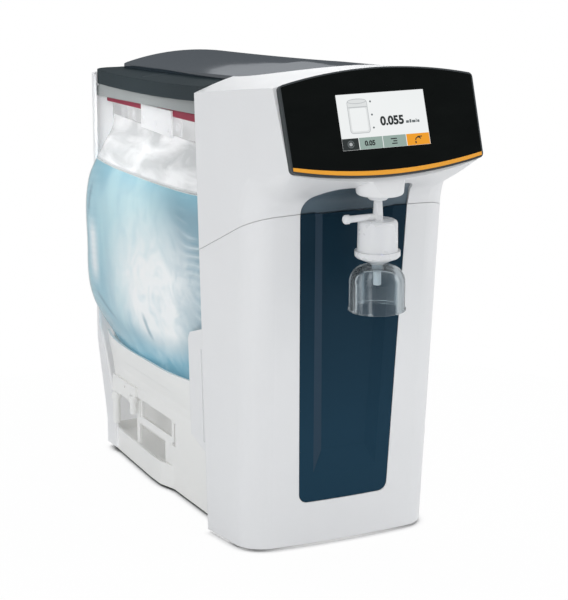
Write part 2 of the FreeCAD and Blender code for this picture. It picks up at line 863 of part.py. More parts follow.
def make_outlet_hood():
    """The dark arched insert under the head, around the outlet boss."""
    above = above_seam(0.5 * n.seam_gap)
    back = n.housing_wall + n.panel_wall
    face = plain_form(n.hood_sink).cut(plain_form(back)).common(niche_outline(-n.panel_gap))
    lip = plain_form(n.housing_wall).cut(plain_form(back)).common(niche_outline(n.panel_lip))
    hood = face.fuse(lip).common(above)
    hood = hood.cut(boss_cone(n.panel_gap, n.boss_foot - 20.0, n.chin_height + 30.0))
    solids = sorted(hood.Solids, key=lambda solid: solid.Volume)
    new_feature("outlet_hood", solids[-1])


make_front_cover()
make_head_cover()
make_niche_panel()
make_outlet_hood()


# ---------------------------------------------------------------------------------------------
# Display: bezel, glass, accent strip, screen, board
# ---------------------------------------------------------------------------------------------

display_back_y = -(d.foot_front + d.front_lean + d.chin_reach) + (
    d.display_mid_height - d.chin_height) * d.display_lean / (d.head_height - d.chin_height)


def display_body(label):
    """A body whose XZ plane lies in the display plane, its front towards the user."""
    body = new_body(label, 0.0, display_back_y, d.display_mid_height)
    turn = Rotation(Vector(1, 0, 0), -display_tilt())
    body.Placement = Placement(body.Placement.Base, turn)
    doc.recompute()
    return body


def draw_glass(sketch, margin, extra_foot):
    """The bowed outline of the glass, grown by margin, and deeper at the foot by extra_foot."""
    draw_bowed(sketch, d.glass_half_top + margin, d.glass_corner_top + margin, d.glass_rise,
               d.glass_half_foot + margin, -(d.glass_corner_foot + margin + 0.8 * extra_foot),
               d.glass_dip + 0.2 * extra_foot)


def make_bezel():
    body = display_body("display_bezel")
    sketch = new_sketch(body, "XZ_Plane")
    draw_glass(sketch, d.bezel_rim, d.strip_height + d.bezel_chin - d.bezel_rim)
    pad(body, sketch, d.bezel_depth)
    round_edges(body, 5.0, lambda e: e.BoundBox.XLength < 1.0 and e.BoundBox.Center.x ** 2 > 8100.0
                and e.Length < n.bezel_depth + 1.0 and e.BoundBox.Center.z < 0.95 * n.display_mid_height)
    seat = new_sketch(body, "XZ_Plane", d.bezel_depth)
    draw_glass(seat, d.fit_gap, d.strip_height)
    pocket(body, seat, d.glass_thick + d.glass_sink)
    hole = new_sketch(body, "XZ_Plane", d.bezel_depth)
    half_wide = d.screen_wide / 2.0 + d.fit_gap
    half_tall = d.screen_tall / 2.0
    draw_box(hole, -half_wide, half_wide, -d.screen_mid - half_tall - d.fit_gap,
             -d.screen_mid + half_tall + d.fit_gap)
    pocket(body, hole, d.bezel_depth)


def make_glass():
    body = display_body("display_glass")
    sketch = new_sketch(body, "XZ_Plane", d.bezel_depth - d.glass_thick - d.glass_sink)
    draw_glass(sketch, 0.0, 0.0)
    pad(body, sketch, d.glass_thick)
    hole = new_sketch(body, "XZ_Plane", d.bezel_depth)
    half_wide = d.screen_wide / 2.0 + d.fit_gap
    half_tall = d.screen_tall / 2.0
    draw_box(hole, -half_wide, half_wide, -d.screen_mid - half_tall - d.fit_gap,
             -d.screen_mid + half_tall + d.fit_gap)
    pocket(body, hole, d.bezel_depth)


def make_strip():
    """The accent strip: what is left of its own outline below the glass."""
    body = display_body("accent_strip")
    sketch = new_sketch(body, "XZ_Plane", d.bezel_depth - d.glass_thick - d.glass_sink)
    draw_glass(sketch, 0.0, d.strip_height)
    pad(body, sketch, d.glass_thick + 2.0 * d.glass_sink)
    above = new_sketch(body, "XZ_Plane", d.bezel_depth + 1.0)
    draw_glass(above, d.fit_gap, 0.0)
    pocket(body, above, d.bezel_depth)


def make_screen():
    body = display_body("touch_screen")
    sketch = new_sketch(body, "XZ_Plane", d.bezel_depth - d.glass_sink - d.screen_thick)
    draw_box(sketch, -d.screen_wide / 2.0, d.screen_wide / 2.0,
             -d.screen_mid - d.screen_tall / 2.0, -d.screen_mid + d.screen_tall / 2.0)
    pad(body, sketch, d.screen_thick)


def make_display_board():
    """The controller board on the back of the screen, with its connector and two chips."""
    body = display_body("display_board")
    front = as_size(0.0)
    sketch = new_sketch(body, "XZ_Plane", front - 1.6)
    draw_box(sketch, -d.screen_wide / 2.0 - 3.0, d.screen_wide / 2.0 + 3.0,
             -d.screen_mid - d.screen_tall / 2.0 - 3.0, -d.screen_mid + d.screen_tall / 2.0 + 3.0)
    pad(body, sketch, 1.6)
    for x, z, wide, tall, depth in ((-22.0, 6.0, 16.0, 16.0, 2.0), (14.0, -8.0, 10.0, 10.0, 2.0),
                                    (0.0, 16.0, 40.0, 5.0, 5.0)):
        chip = new_sketch(body, "XZ_Plane", front - 1.6)
        draw_box(chip, x - wide / 2.0, x + wide / 2.0, z - tall / 2.0 - d.screen_mid,
                 z + tall / 2.0 - d.screen_mid)
        pad(body, chip, depth, back=True)


make_bezel()
make_glass()
make_strip()
make_screen()
make_display_board()


# ---------------------------------------------------------------------------------------------
# Outlet, final filter capsule, vent plug and bell
# ---------------------------------------------------------------------------------------------

OUTLET_Y = -d.outlet_axis
ring_foot = d.boss_foot - d.outlet_ring_drop
spout_top = d.boss_foot + d.spout_grip - d.outlet_ring_drop
spout_radius = d.outlet_bore - d.spout_fit


def make_outlet_ring():
    """The outlet fitting in the boss: a ring below and a tube stub above."""
    stub_top = d.boss_foot + 22.0
    neck = d.outlet_ring_radius - 2.0 - d.fit_gap
    revolved("outlet_ring", [
        (d.outlet_bore, ring_foot), (d.outlet_ring_radius - 1.5, ring_foot),
        (d.outlet_ring_radius, ring_foot + 1.5), (d.outlet_ring_radius, d.boss_foot),
        (neck, d.boss_foot), (neck, d.boss_foot + d.boss_wall + 3.0),
        (5.5, d.boss_foot + d.boss_wall + 3.0), (5.5, stub_top), (2.5, stub_top),
        (2.5, spout_top + 0.5), (d.outlet_bore, spout_top + 0.5),
    ], 0.0, OUTLET_Y, 0.0)


def make_capsule_top():
    """The capsule's upper half: spout, domed shoulder, body and the side vent."""
    inner = d.capsule_radius - d.capsule_wall
    body = revolved("capsule_top", [
        (d.capsule_bore, spout_top), (spout_radius, spout_top), (spout_radius, ring_foot),
        (d.spout_foot_radius, d.capsule_top), (d.capsule_radius - 3.4, d.capsule_top),
        (d.capsule_radius - 1.3, d.capsule_top - 1.2), (d.capsule_radius - 0.4, d.capsule_top - 3.4),
        (d.capsule_radius, d.capsule_foot), (inner, d.capsule_foot),
        (inner, d.capsule_top - d.capsule_wall - 1.5), (inner - 2.0, d.capsule_top - d.capsule_wall),
        (d.capsule_bore, d.capsule_top - d.capsule_wall),
    ], 0.0, OUTLET_Y, 0.0)
    vent = new_sketch(body, "YZ_Plane", -d.vent_reach)
    draw_circle(vent, 0.0, d.vent_height, d.vent_radius)
    pad(body, vent, d.vent_reach - d.capsule_bore - 1.0)
    bore = new_sketch(body, "YZ_Plane", -d.vent_reach)
    draw_circle(bore, 0.0, d.vent_height, d.vent_bore)
    pocket(body, bore, d.vent_reach - 2.0, back=True)


def make_vent_plug():
    """The screw plug on the side vent: a ball end with a short knurled collar."""
    body = new_body("vent_plug", 0.0, OUTLET_Y, 0.0)
    length = d.vent_plug_length
    sketch = new_sketch(body, "YZ_Plane", -(d.vent_reach + length))
    draw_circle(sketch, 0.0, d.vent_height, d.vent_plug_radius)
    pad(body, sketch, length - 0.2)
    round_edges(body, 3.0, lambda e: e.BoundBox.XMax < -(n.vent_reach + n.vent_plug_length) + 0.01)
    stub = new_sketch(body, "YZ_Plane", -(d.vent_reach + 0.4))
    draw_circle(stub, 0.0, d.vent_height, d.vent_bore - d.shaft_fit)
    pad(body, stub, 5.0)
    waist = new_sketch(body, "YZ_Plane", -d.vent_reach - 3.2)
    draw_circle(waist, 0.0, d.vent_height, d.vent_plug_radius + 1.0)
    draw_circle(waist, 0.0, d.vent_height, d.vent_plug_radius - 1.1)
    pocket(body, waist, 4.0, back=True)


def make_capsule_base():
    """The capsule's lower half: welded flange, cone and stepped hose nozzle."""
    cone_foot = d.nozzle_top
    revolved("capsule_base", [
        (d.capsule_bore, d.nozzle_foot), (d.nozzle_radius - 0.6, d.nozzle_foot),
        (d.nozzle_radius, d.nozzle_foot + 0.6),
        (d.nozzle_radius, cone_foot - d.nozzle_step_height),
        (d.nozzle_step_radius, cone_foot - d.nozzle_step_height), (d.nozzle_step_radius, cone_foot),
        (d.flange_radius - 2.0, d.capsule_foot - d.flange_height),
        (d.flange_radius, d.capsule_foot - d.flange_height + 2.0), (d.flange_radius, d.capsule_foot),
        (d.capsule_radius + 0.2, d.capsule_foot), (d.capsule_radius - d.capsule_wall, d.capsule_foot),
        (d.capsule_radius - d.capsule_wall, d.capsule_foot - 1.0), (d.capsule_bore, cone_foot + 2.0),
    ], 0.0, OUTLET_Y, 0.0)


def make_filter_disc():
    """The pleated membrane inside the capsule, as a ribbed disc stack."""
    inner = d.capsule_radius - d.capsule_wall
    low = d.capsule_foot
    profile = [(1.0, low)]
    folds = 5
    step = 4.4
    for i in range(folds):
        profile.append((inner, low + 0.2 + i * step))
        profile.append((inner, low + 0.2 + (i + 0.5) * step))
        profile.append((inner - 2.0, low + 0.2 + (i + 0.75) * step))
    profile.append((1.0, low + folds * step))
    revolved("filter_membrane", profile, 0.0, OUTLET_Y, 0.0)


def make_bell():
    """The bell that shields the nozzle: a domed thin-walled cup, open below, beaded at the rim."""
    hole = d.nozzle_step_radius + d.bell_fit
    radius, wall, top, rim = d.bell_radius, d.bell_wall, d.bell_top, d.bell_rim
    bell = revolved("bell", [
        (hole, top - wall), (hole, top + 1.0), (hole + 1.8, top + 1.0), (hole + 2.6, top),
        (radius, top), (radius, rim + 3.0), (radius + 0.9, rim + 2.2), (radius + 0.9, rim + 0.6),
        (radius + 0.3, rim), (radius - wall, rim), (radius - wall, top - wall),
    ], 0.0, OUTLET_Y, 0.0)

    def is_shoulder(edge, half, level):
        box = edge.BoundBox
        return abs(box.XMax - half) < 0.05 and abs(box.ZMin - level) < 0.05 and box.ZLength < 0.05

    round_edges(bell, d.bell_shoulder, lambda e: is_shoulder(e, n.bell_radius, n.bell_top))
    round_edges(bell, d.bell_shoulder - wall,
                lambda e: is_shoulder(e, n.bell_radius - n.bell_wall, n.bell_top - n.bell_wall))


make_outlet_ring()
make_capsule_top()
make_vent_plug()
make_capsule_base()
make_filter_disc()
make_bell()


# ---------------------------------------------------------------------------------------------
# Lid: frame with a side band, and the raised glossy panel with its tongue
# ---------------------------------------------------------------------------------------------

def panel_edge_line(y):
    """Height of the raised panel's side edges, level with the head where they meet."""
    share = (n.lid_panel_half / STATION) ** 2
    start = n.crest_height - n.crest_side_drop * share
    middle = REAR_Y + 0.435 * (n.lid_panel_rear - REAR_Y)
    return three_point_height(y, [(REAR_Y, start), (middle, n.lid_panel_mid_edge),
                                  (n.lid_panel_rear, n.lid_panel_rear_edge)])


def lid_half(y):
    share = (y - LID_FRONT) / (LID_REAR - LID_FRONT)
    return n.lid_front_half + (n.lid_rear_half - n.lid_front_half) * share


def lid_section(y, inset):
    half = lid_half(y) - inset
    top = lid_line(y) - inset
    foot = lid_line(y) - n.lid_band - (5.0 if inset else 0.0)
    ledge_half = n.lid_panel_half + 1.0 - 0.4 * inset
    ledge = panel_edge_line(y) - n.lid_panel_step - inset
    corners = [(-half, foot), (-half, top), (-ledge_half, ledge), (ledge_half, ledge), (half, top),
               (half, foot)]
    points = [Vector(x, y, z) for x, z in corners]
    return Part.makePolygon(points + [points[0]])


def lid_block(inset, front, rear):
    stations = [front, 0.5 * (front + rear), rear]
    block_shape = Part.makeLoft([lid_section(y, inset) for y in stations], True, False)
    plan = rounded_plan(n.lid_front_half + 5.0, front - 5.0, rear, n.lid_corner, 300.0, 600.0)
    half_rear = lid_half(rear) - inset
    plan = rounded_plan(half_rear, 0.0, rear, n.lid_corner - inset, 300.0, 600.0)
    ahead = box_between(-FAR, FAR, front - 5.0, rear - n.lid_corner + inset, 300.0, 600.0)
    return block_shape.common(plan.fuse(ahead))


def hinge_bar(x_low, x_high, radius):
    """A bar on the lid's hinge axis."""
    start = Vector(x_low, n.rear_face - n.hinge_inset, n.hinge_height)
    return Part.makeCylinder(radius, x_high - x_low, start, Vector(1, 0, 0))


def make_lid_frame():
    """The lid's frame: a side band, a sloping ledge, two locating pegs and two hinge knuckles."""
    outer = lid_block(0.0, LID_FRONT, LID_REAR)
    inner = lid_block(n.lid_wall, LID_FRONT - 1.0, LID_REAR - n.lid_wall)
    frame = outer.cut(inner)
    for x, y in lid_pegs():
        top = lid_line(y) - 0.6 * n.lid_wall
        foot = rail_top(y) - 6.0
        frame = frame.fuse(Part.makeCylinder(n.lid_peg_radius, top - foot, Vector(x, y, foot)))
    axis_y = n.rear_face - n.hinge_inset
    for x in (-n.hinge_x, n.hinge_x):
        low, high = x - n.hinge_width / 2.0, x + n.hinge_width / 2.0
        notch = box_between(low - 6.0, high + 6.0, axis_y + 3.4, n.rear_face, 400.0,
                            n.hinge_height + 2.0)
        web = box_between(low, high, axis_y - n.knuckle_radius, axis_y + n.knuckle_radius,
                          n.hinge_height, lid_line(axis_y) - 1.2)
        frame = frame.cut(notch).fuse(web).fuse(hinge_bar(low, high, n.knuckle_radius))
        frame = frame.cut(hinge_bar(low - 1.0, high + 1.0, n.hinge_pin_radius + n.hinge_fit))
    new_feature("lid_frame", frame.removeSplitter())
    return outer


def lid_pegs():
    x = 0.5 * (n.rail_inner_half + n.rail_outer_half)
    return [(side * x, REAR_Y + 30.0) for side in (-1.0, 1.0)]


def crowned_section(y, inset, drop):
    """A raised section: upright sides and an arched top."""
    half = n.lid_panel_half - inset
    edge = panel_edge_line(y) - inset
    share = (y - REAR_Y) / (n.lid_panel_rear - REAR_Y)
    front_crown = n.crest_side_drop * (n.lid_panel_half / STATION) ** 2
    crown = front_crown + (n.lid_panel_rear_crown - front_crown) * share
    left, right = Vector(-half, y, edge), Vector(half, y, edge)
    low_left, low_right = Vector(-half, y, edge - drop), Vector(half, y, edge - drop)
    edges = [
        Part.LineSegment(low_left, left).toShape(),
        Part.Arc(left, Vector(0, y, edge + crown), right).toShape(),
        Part.LineSegment(right, low_right).toShape(),
        Part.LineSegment(low_right, low_left).toShape(),
    ]
    return Part.Wire(edges)


def crowned_block(inset, front, rear, drop):
    middle = REAR_Y + 0.435 * (n.lid_panel_rear - REAR_Y)
    stations = (front, middle, rear)
    return Part.makeLoft([crowned_section(y, inset, drop) for y in stations], True, False)


def make_lid_panel(frame_outer):
    """The raised, crowned panel and the tongue that reaches forward over the head."""
    wall = n.lid_panel_wall
    raised = crowned_block(n.tongue_step, REAR_Y, n.lid_panel_rear, n.lid_panel_step + 1.0)
    corners = [e for e in raised.Edges if e.BoundBox.YMin > n.lid_panel_rear - 1.0
               and e.BoundBox.XLength < 1e-3 and e.BoundBox.ZLength > 5.0]
    raised = raised.makeFillet(7.0, corners)
    hollow = crowned_block(wall, REAR_Y - 1.0, n.lid_panel_rear - wall, 3.0 * n.lid_panel_step)
    raised = raised.cut(hollow).cut(frame_outer)
    tongue = plain_form(0.0).cut(plain_form(n.tongue_thick)).common(tongue_prism(0.0))
    tongue = tongue.common(box_between(-FAR, FAR, -FAR, REAR_Y, n.crest_height - 60.0, 2 * FAR))
    new_feature("lid_panel", raised.fuse(tongue).removeSplitter())


def cover_pegs():
    """Where the cover's pegs sit, as (y, z): two in the top frame, two in the base tray."""
    places = [(y, rail_top(y) - 0.5 * n.rail_height) for y in (REAR_Y + 45.0, n.rear_face - 70.0)]
    return places + [(y, 14.0) for y in (REAR_Y + 45.0, n.rear_face - 130.0)]


# ---------------------------------------------------------------------------------------------
# Rear housing, base tray, feet, top frame and partition
# ---------------------------------------------------------------------------------------------

def rear_outline(inset, low):
    """The housing seen from the rear: narrow at the foot, widening in a soft curve."""
    narrow, wide = n.rear_foot_half - inset, n.rear_half + 1.0 - inset
    start, end = n.tray_top + 5.0, 0.36 * n.rear_rim
    middle = Vector(0.53 * narrow + 0.47 * wide, 0, start + 0.56 * (end - start))
    corners = [Vector(narrow, 0, start), middle, Vector(wide, 0, end)]
    mirrored = [Vector(-corner.x, 0, corner.z) for corner in reversed(corners)]
    top = n.rear_rim + 9.0
    foot_right, foot_left = Vector(narrow, 0, low), Vector(-narrow, 0, low)
    top_right, top_left = Vector(wide, 0, top), Vector(-wide, 0, top)
    edges = [
        Part.LineSegment(foot_left, foot_right).toShape(),
        Part.LineSegment(foot_right, corners[0]).toShape(),
        Part.Arc(*corners).toShape(),
        Part.LineSegment(corners[2], top_right).toShape(),
        Part.LineSegment(top_right, top_left).toShape(),
        Part.LineSegment(top_left, mirrored[0]).toShape(),
        Part.Arc(*mirrored).toShape(),
        Part.LineSegment(mirrored[2], foot_left).toShape(),
    ]
    return Part.Face(Part.Wire(edges)).extrude(Vector(0, FAR, 0))


def make_rear_housing():
    """The rear housing: back wall, rounded corner posts, a cable recess and vent slots."""
    front = n.rear_face - n.post_length
    low = FOOT_Z + 3.0
    outer = rounded_plan(n.rear_half, front, n.rear_face, n.rear_corner, low, n.rear_rim)
    outer = outer.common(rear_outline(0.0, low))
    inner = rounded_plan(n.rear_half - n.rear_wall, front - 5.0, n.rear_face - n.rear_wall,
                         n.rear_corner - n.rear_wall, low - 5.0, n.rear_rim + 5.0)
    inner = inner.common(rear_outline(n.rear_wall, low - 5.0))
    shell = outer.cut(inner)
    recess = box_between(-n.recess_left, n.recess_right, n.rear_face - 9.0, n.rear_face + 9.0,
                         n.recess_low, n.recess_high)
    shell = shell.cut(recess)
    slot_count = 9
    for i in range(slot_count):
        z = n.recess_high + 60.0 + 12.0 * i
        slot = box_between(-45.0, 75.0, n.rear_face - 9.0, n.rear_face + 9.0, z, z + 5.0)
        shell = shell.cut(slot)
    new_feature("rear_housing", shell.removeSplitter())


def make_base_tray():
    """The base tray: its sides step out over the rear half in a soft S."""
    step = 64.0
    slim, wide = d.tray_front_half, d.tray_rear_half
    front_y = -(d.foot_front - 14.0)
    rear_y = d.rear_face - d.rear_wall
    step_y = as_size(step)

    def outline(grow):
        return [(-slim + grow, front_y + grow), (slim - grow, front_y + grow),
                (slim - grow, step_y), (wide - grow, step_y + 24.0),
                (wide - grow, step_y + 50.0), (slim - grow, rear_y - grow),
                (-slim + grow, rear_y - grow), (-wide + grow, step_y + 50.0),
                (-wide + grow, step_y + 24.0), (-slim + grow, step_y)]

    body = new_body("base_tray")
    sketch = new_sketch(body, "XY_Plane", d.foot_gap)
    draw_polygon(sketch, outline(as_size(0.0)))
    pad(body, sketch, d.tray_top - d.foot_gap)
    round_edges(body, 12.0, lambda e: is_upright(e) and abs(e.BoundBox.Center.x) > 80.0)
    hollow = new_sketch(body, "XY_Plane", d.tray_top)
    draw_polygon(hollow, outline(d.tray_wall))
    pocket(body, hollow, d.tray_top - d.tray_floor)
    sockets = new_sketch(body, "YZ_Plane", d.tray_rear_half + 2.0)
    for y, z in cover_pegs()[2:]:
        draw_circle(sockets, y, z, d.cover_peg_radius + d.cover_peg_fit)
    pocket(body, sockets, 20.0)


def make_feet():
    """Four rubber feet in one node, each a short turned pad."""
    body_shapes = []
    inset = n.foot_inset
    places = [(side * (n.tray_front_half - inset), y) for side in (-1.0, 1.0)
              for y in (-(n.foot_front - 14.0 - inset), n.rear_face - 12.0 - inset)]
    for x, y in places:
        pad_shape = Part.makeCylinder(n.foot_radius, FOOT_Z, Vector(x, y, 0.0))
        edges = [e for e in pad_shape.Edges if e.BoundBox.ZMax < 0.01]
        body_shapes.append(pad_shape.makeChamfer(0.8, edges))
    new_feature("foot_pads", Part.makeCompound(body_shapes))


def make_top_frame():
    """The rail frame under the lid, with peg sockets, side cover sockets and hinge ears."""
    front = REAR_Y + 1.5
    rear = n.rear_face - n.rear_wall
    steps = 8
    stations = [rear + (front - rear) * i / steps for i in range(steps + 1)]
    outline = [(front, rail_top(front) - n.rail_height), (rear, rail_top(rear) - n.rail_height)]
    outline += [(y, rail_top(y)) for y in stations]
    bar = prism_x(outline, -n.rail_outer_half, n.rail_outer_half)
    heel = prism_x(outline, -n.rear_half, n.rear_half)
    heel = heel.common(box_between(-FAR, FAR, rear - 20.0, rear, 300.0, 600.0))
    bar = bar.fuse(heel)
    plan = rounded_plan(n.rear_half - n.rear_wall, front, rear,
                        n.rear_corner - n.rear_wall, 300.0, 600.0)
    frame = bar.common(plan)
    opening = box_between(-n.rail_inner_half, n.rail_inner_half, front + 12.0, rear - 12.0,
                          300.0, 600.0)
    relief = box_between(-FAR, FAR, n.rear_face - n.hinge_inset - 13.0, FAR,
                         n.hinge_height - 14.2, 600.0)
    frame = frame.cut(opening).cut(relief)
    for x, y in lid_pegs():
        socket = Part.makeCylinder(n.lid_peg_radius + 0.3, 8.0, Vector(x, y, rail_top(y) - 7.0))
        frame = frame.cut(socket)
    for y, z in cover_pegs()[:2]:
        start = Vector(n.rail_outer_half + 5.0, y, z)
        frame = frame.cut(Part.makeCylinder(n.cover_peg_radius + n.cover_peg_fit, 12.0, start,
                                            Vector(-1, 0, 0)))
    axis_y = n.rear_face - n.hinge_inset
    ear_radius = n.hinge_pin_radius + 0.9
    for x in (-n.hinge_x, n.hinge_x):
        for side in (-1.0, 1.0):
            near = x + side * (n.hinge_width / 2.0 + 0.5)
            low = min(near, near + side * 4.0)
            ear = hinge_bar(low, low + 4.0, ear_radius)
            stem = box_between(low, low + 4.0, axis_y - ear_radius, axis_y + ear_radius,
                               n.hinge_height - 20.0, n.hinge_height)
            frame = frame.fuse(ear).fuse(stem)
            frame = frame.cut(hinge_bar(low - 1.0, low + 5.0, n.hinge_pin_radius))
    new_feature("top_frame", frame.removeSplitter())


def make_hinge_pins():
    """The two steel hinge pins, headed at their outer ends."""
    shapes = []
    for side in (-1.0, 1.0):
        inner = n.hinge_x - n.hinge_width / 2.0 - 4.5
        outer = n.hinge_x + n.hinge_width / 2.0 + 4.5
        low, high = sorted((side * inner, side * outer))
        head = outer if side > 0.0 else -outer - 1.0
        pin = hinge_bar(low, high, n.hinge_pin_radius)
        shapes.append(pin.fuse(hinge_bar(head, head + 1.0, n.hinge_pin_radius + 0.7)))
    new_feature("hinge_pins", Part.makeCompound(shapes))


def make_partition():
    """The partition between the bag bay and the module bay, stiffened by ribs on its far side."""
    front = -(n.foot_front - 17.5)
    rear = n.rear_face - n.rear_wall
    low = n.tray_floor
    x = -n.partition_x
    rail_front = REAR_Y + 1.5
    high_front = rail_top(rail_front) - n.rail_height
    high_rear = rail_top(rear) - n.rail_height
    tray_end = rear - n.tray_wall
    outline = [(front, low), (tray_end, low), (tray_end, n.tray_top), (rear, n.tray_top),
               (rear, high_rear), (rail_front, high_front),
               (rail_front - 8.0, 330.0), (front, 330.0)]
    wall = prism_x(outline, x, x + n.partition_thick)
    rib_count = 4
    for i in range(rib_count):
        y = -40.0 + i * 64.0
        rib = box_between(x + n.partition_thick, x + n.partition_thick + 4.0, y, y + 2.5,
                          low, high_rear - 20.0)
        wall = wall.fuse(rib)
    feed_hole = Part.makeCylinder(6.0, 20.0, Vector(x - 8.0, -110.0, 60.0), Vector(1, 0, 0))
    new_feature("partition_wall", wall.cut(feed_hole).removeSplitter())


lid_outer = make_lid_frame()
make_lid_panel(lid_outer)
make_rear_housing()
make_base_tray()
make_feet()
make_top_frame()
make_hinge_pins()
make_partition()


# ---------------------------------------------------------------------------------------------
# Bag bay: cradle, bulkhead, drain fittings, hanging bars and the water bag
# ---------------------------------------------------------------------------------------------

def cradle_section(y, rim_x, top):
    """One cross-section of the cradle: an upright band, a flared wall and the shelf."""
    thick = n.bag_shelf_thick
    band = n.bulkhead_x + 4.0
    low, shelf = n.cradle_foot, n.bag_shelf_top
    rise = top - (low + 12.0)
    flare = [(band, low), (band, low + 12.0)]
    flare += [(band + (rim_x - band) * reach, low + 12.0 + rise * share)
              for share, reach in ((0.25, 0.16), (0.5, 0.43), (0.75, 0.73), (1.0, 1.0))]
    inside = [(x - thick, z) for x, z in reversed(flare)]
    inside[-1] = (band - thick, low + thick)
    above, below = inside[:2], inside[2:]
    shelf_x = above[-1][0] - 0.5 * (above[-1][0] - below[0][0])
    outline = flare + above + [(shelf_x, shelf), (-1.0, shelf), (-1.0, shelf - thick),
                               (shelf_x - 2.0, shelf - thick)]
    outline += [point for point in below if point[1] < shelf - thick - 0.5]
    outline += [(n.bulkhead_x - n.bulkhead_thick, low + thick), (n.bulkhead_x - n.bulkhead_thick, low)]
    points = [Vector(-x, y, z) for x, z in outline]
    return Part.makePolygon(points + [points[0]])


def make_bag_cradle():
    """The tub that carries the bag: a band, a wall flaring out round the bag and a shelf."""
    top = n.bag_shelf_top + 27.0
    rear, front = n.bag_rear + 2.5, REAR_Y + 9.0
    span = rear - front
    band = n.bulkhead_x + 4.0
    reach = n.side_reach - n.bulkhead_x
    stations = ((0.0, 0.28), (0.09, 0.43), (0.26, 0.57), (0.44, 0.58), (0.6, 0.56), (0.75, 0.49),
                (0.86, 0.33), (0.93, 0.22), (1.0, 0.14))
    sections = [cradle_section(rear - along * span, n.bulkhead_x + share * reach, top)
                for along, share in stations]
    tub = Part.makeLoft(sections, True, False)
    keep = box_between(-2.0 * band, -n.partition_x, front, rear, n.cradle_foot, top)
    ends = (box_between(-band, -n.partition_x, rear - 2.5, rear, n.bag_shelf_top - 1.0, top),
            box_between(-band, -n.partition_x, front, front + 2.5, n.bag_shelf_top - 1.0, top - 14.0))
    tub = tub.fuse(ends[0]).fuse(ends[1]).common(keep).cut(bag_form(n.bag_gap))
    solids = sorted(tub.Solids, key=lambda solid: solid.Volume)
    new_feature("bag_cradle", solids[-1].removeSplitter())


def make_bulkhead():
    """The bulkhead under the cradle: two windows, a tube slot and a hook-shaped slot."""
    body = new_body("lower_bulkhead", -d.bulkhead_x, 0.0, 0.0)
    front = as_size(REAR_Y + 9.0)
    low = d.tray_floor
    step = as_size(82.0)
    sketch = new_sketch(body, "YZ_Plane")
    draw_polygon(sketch, [(front, d.tray_top + 0.2), (step, d.tray_top + 0.2), (step, low),
                          (d.bag_rear - 54.0, low), (d.bag_rear - 54.0, d.cradle_foot - 14.0),
                          (d.bag_rear - 8.0, d.cradle_foot - 14.0), (d.bag_rear - 8.0, d.cradle_foot),
                          (front, d.cradle_foot)])
    pad(body, sketch, d.bulkhead_thick)
    windows = new_sketch(body, "YZ_Plane", d.bulkhead_thick + 1.0)
    high = d.cradle_foot
    draw_box(windows, 67.5, 152.0, high - 23.0, high - 3.0)
    draw_box(windows, 86.0, 160.0, low + 8.0, high - 32.5)
    draw_box(windows, 157.0, 160.0, high - 25.0, high - 4.0)
    draw_polygon(windows, [(57.5, high - 5.0), (57.5, high - 32.0), (66.0, high - 32.0),
                           (66.0, high - 28.0), (61.5, high - 28.0), (61.5, high - 5.0)])
    pocket(body, windows, d.bulkhead_thick + 2.0)


def make_drain_bracket():
    """The bracket for the two drain spigots, with a small lock hole."""
    body = new_body("drain_bracket", -d.bulkhead_x - 7.0, 0.0, 0.0)
    sketch = new_sketch(body, "YZ_Plane")
    foot = d.cradle_foot
    rear, front = d.bag_rear + 2.5, d.bag_rear - 66.0
    draw_polygon(sketch, [(front, foot), (front + 15.0, foot), (front + 22.0, foot - 8.0),
                          (rear - 22.0, foot - 8.0), (rear - 21.0, foot - 9.0),
                          (rear, foot - 9.0), (rear, foot + 11.0), (front, foot + 11.0)])
    pad(body, sketch, 3.0)
    lock = new_sketch(body, "YZ_Plane", 4.0)
    draw_circle(lock, front + 32.0, foot + 4.6, 1.8)
    pocket(body, lock, 6.0)


def spigot(label, y, top, foot, radius):
    """A hanging drain spigot: a collar, a tapered tube and a rounded plugged end."""
    revolved(label, [
        (0.0, foot), (radius - 1.6, foot), (radius - 0.4, foot + 1.4), (radius, foot + 4.0),
        (radius - 0.5, top - 7.0), (radius + 1.2, top - 7.0), (radius + 1.2, top - 2.0),
        (radius - 0.4, top), (0.0, top),
    ], -d.bulkhead_x - 6.2, y, 0.0)


def bar_top(y):
    """Height of the hanging bars' upper edge, which rises to the front."""
    span = n.bar_rear + n.bar_front
    return n.bar_rear_top + n.bar_rise * (n.bar_rear - y) / span


def make_bars():
    """The two hanging bars that clamp the bag's upper hem between them."""
    for label, inner in (("outer_bar", True), ("inner_bar", False)):
        offset = -d.bar_x - d.film_gap / 2.0 - d.bar_thick
        if not inner:
            offset = -d.bar_x + d.film_gap / 2.0
        body = new_body(label, offset, 0.0, 0.0)
        sketch = new_sketch(body, "YZ_Plane")
        front_top = d.bar_rear_top + d.bar_rise
        draw_polygon(sketch, [(-d.bar_front, front_top - d.bar_height),
                              (d.bar_rear, d.bar_rear_top - d.bar_height),
                              (d.bar_rear, d.bar_rear_top), (-d.bar_front, front_top)])
        pad(body, sketch, d.bar_thick)
        chamfer_edges(body, 0.8, lambda e: e.Length > 0.8 * (n.bar_rear + n.bar_front))


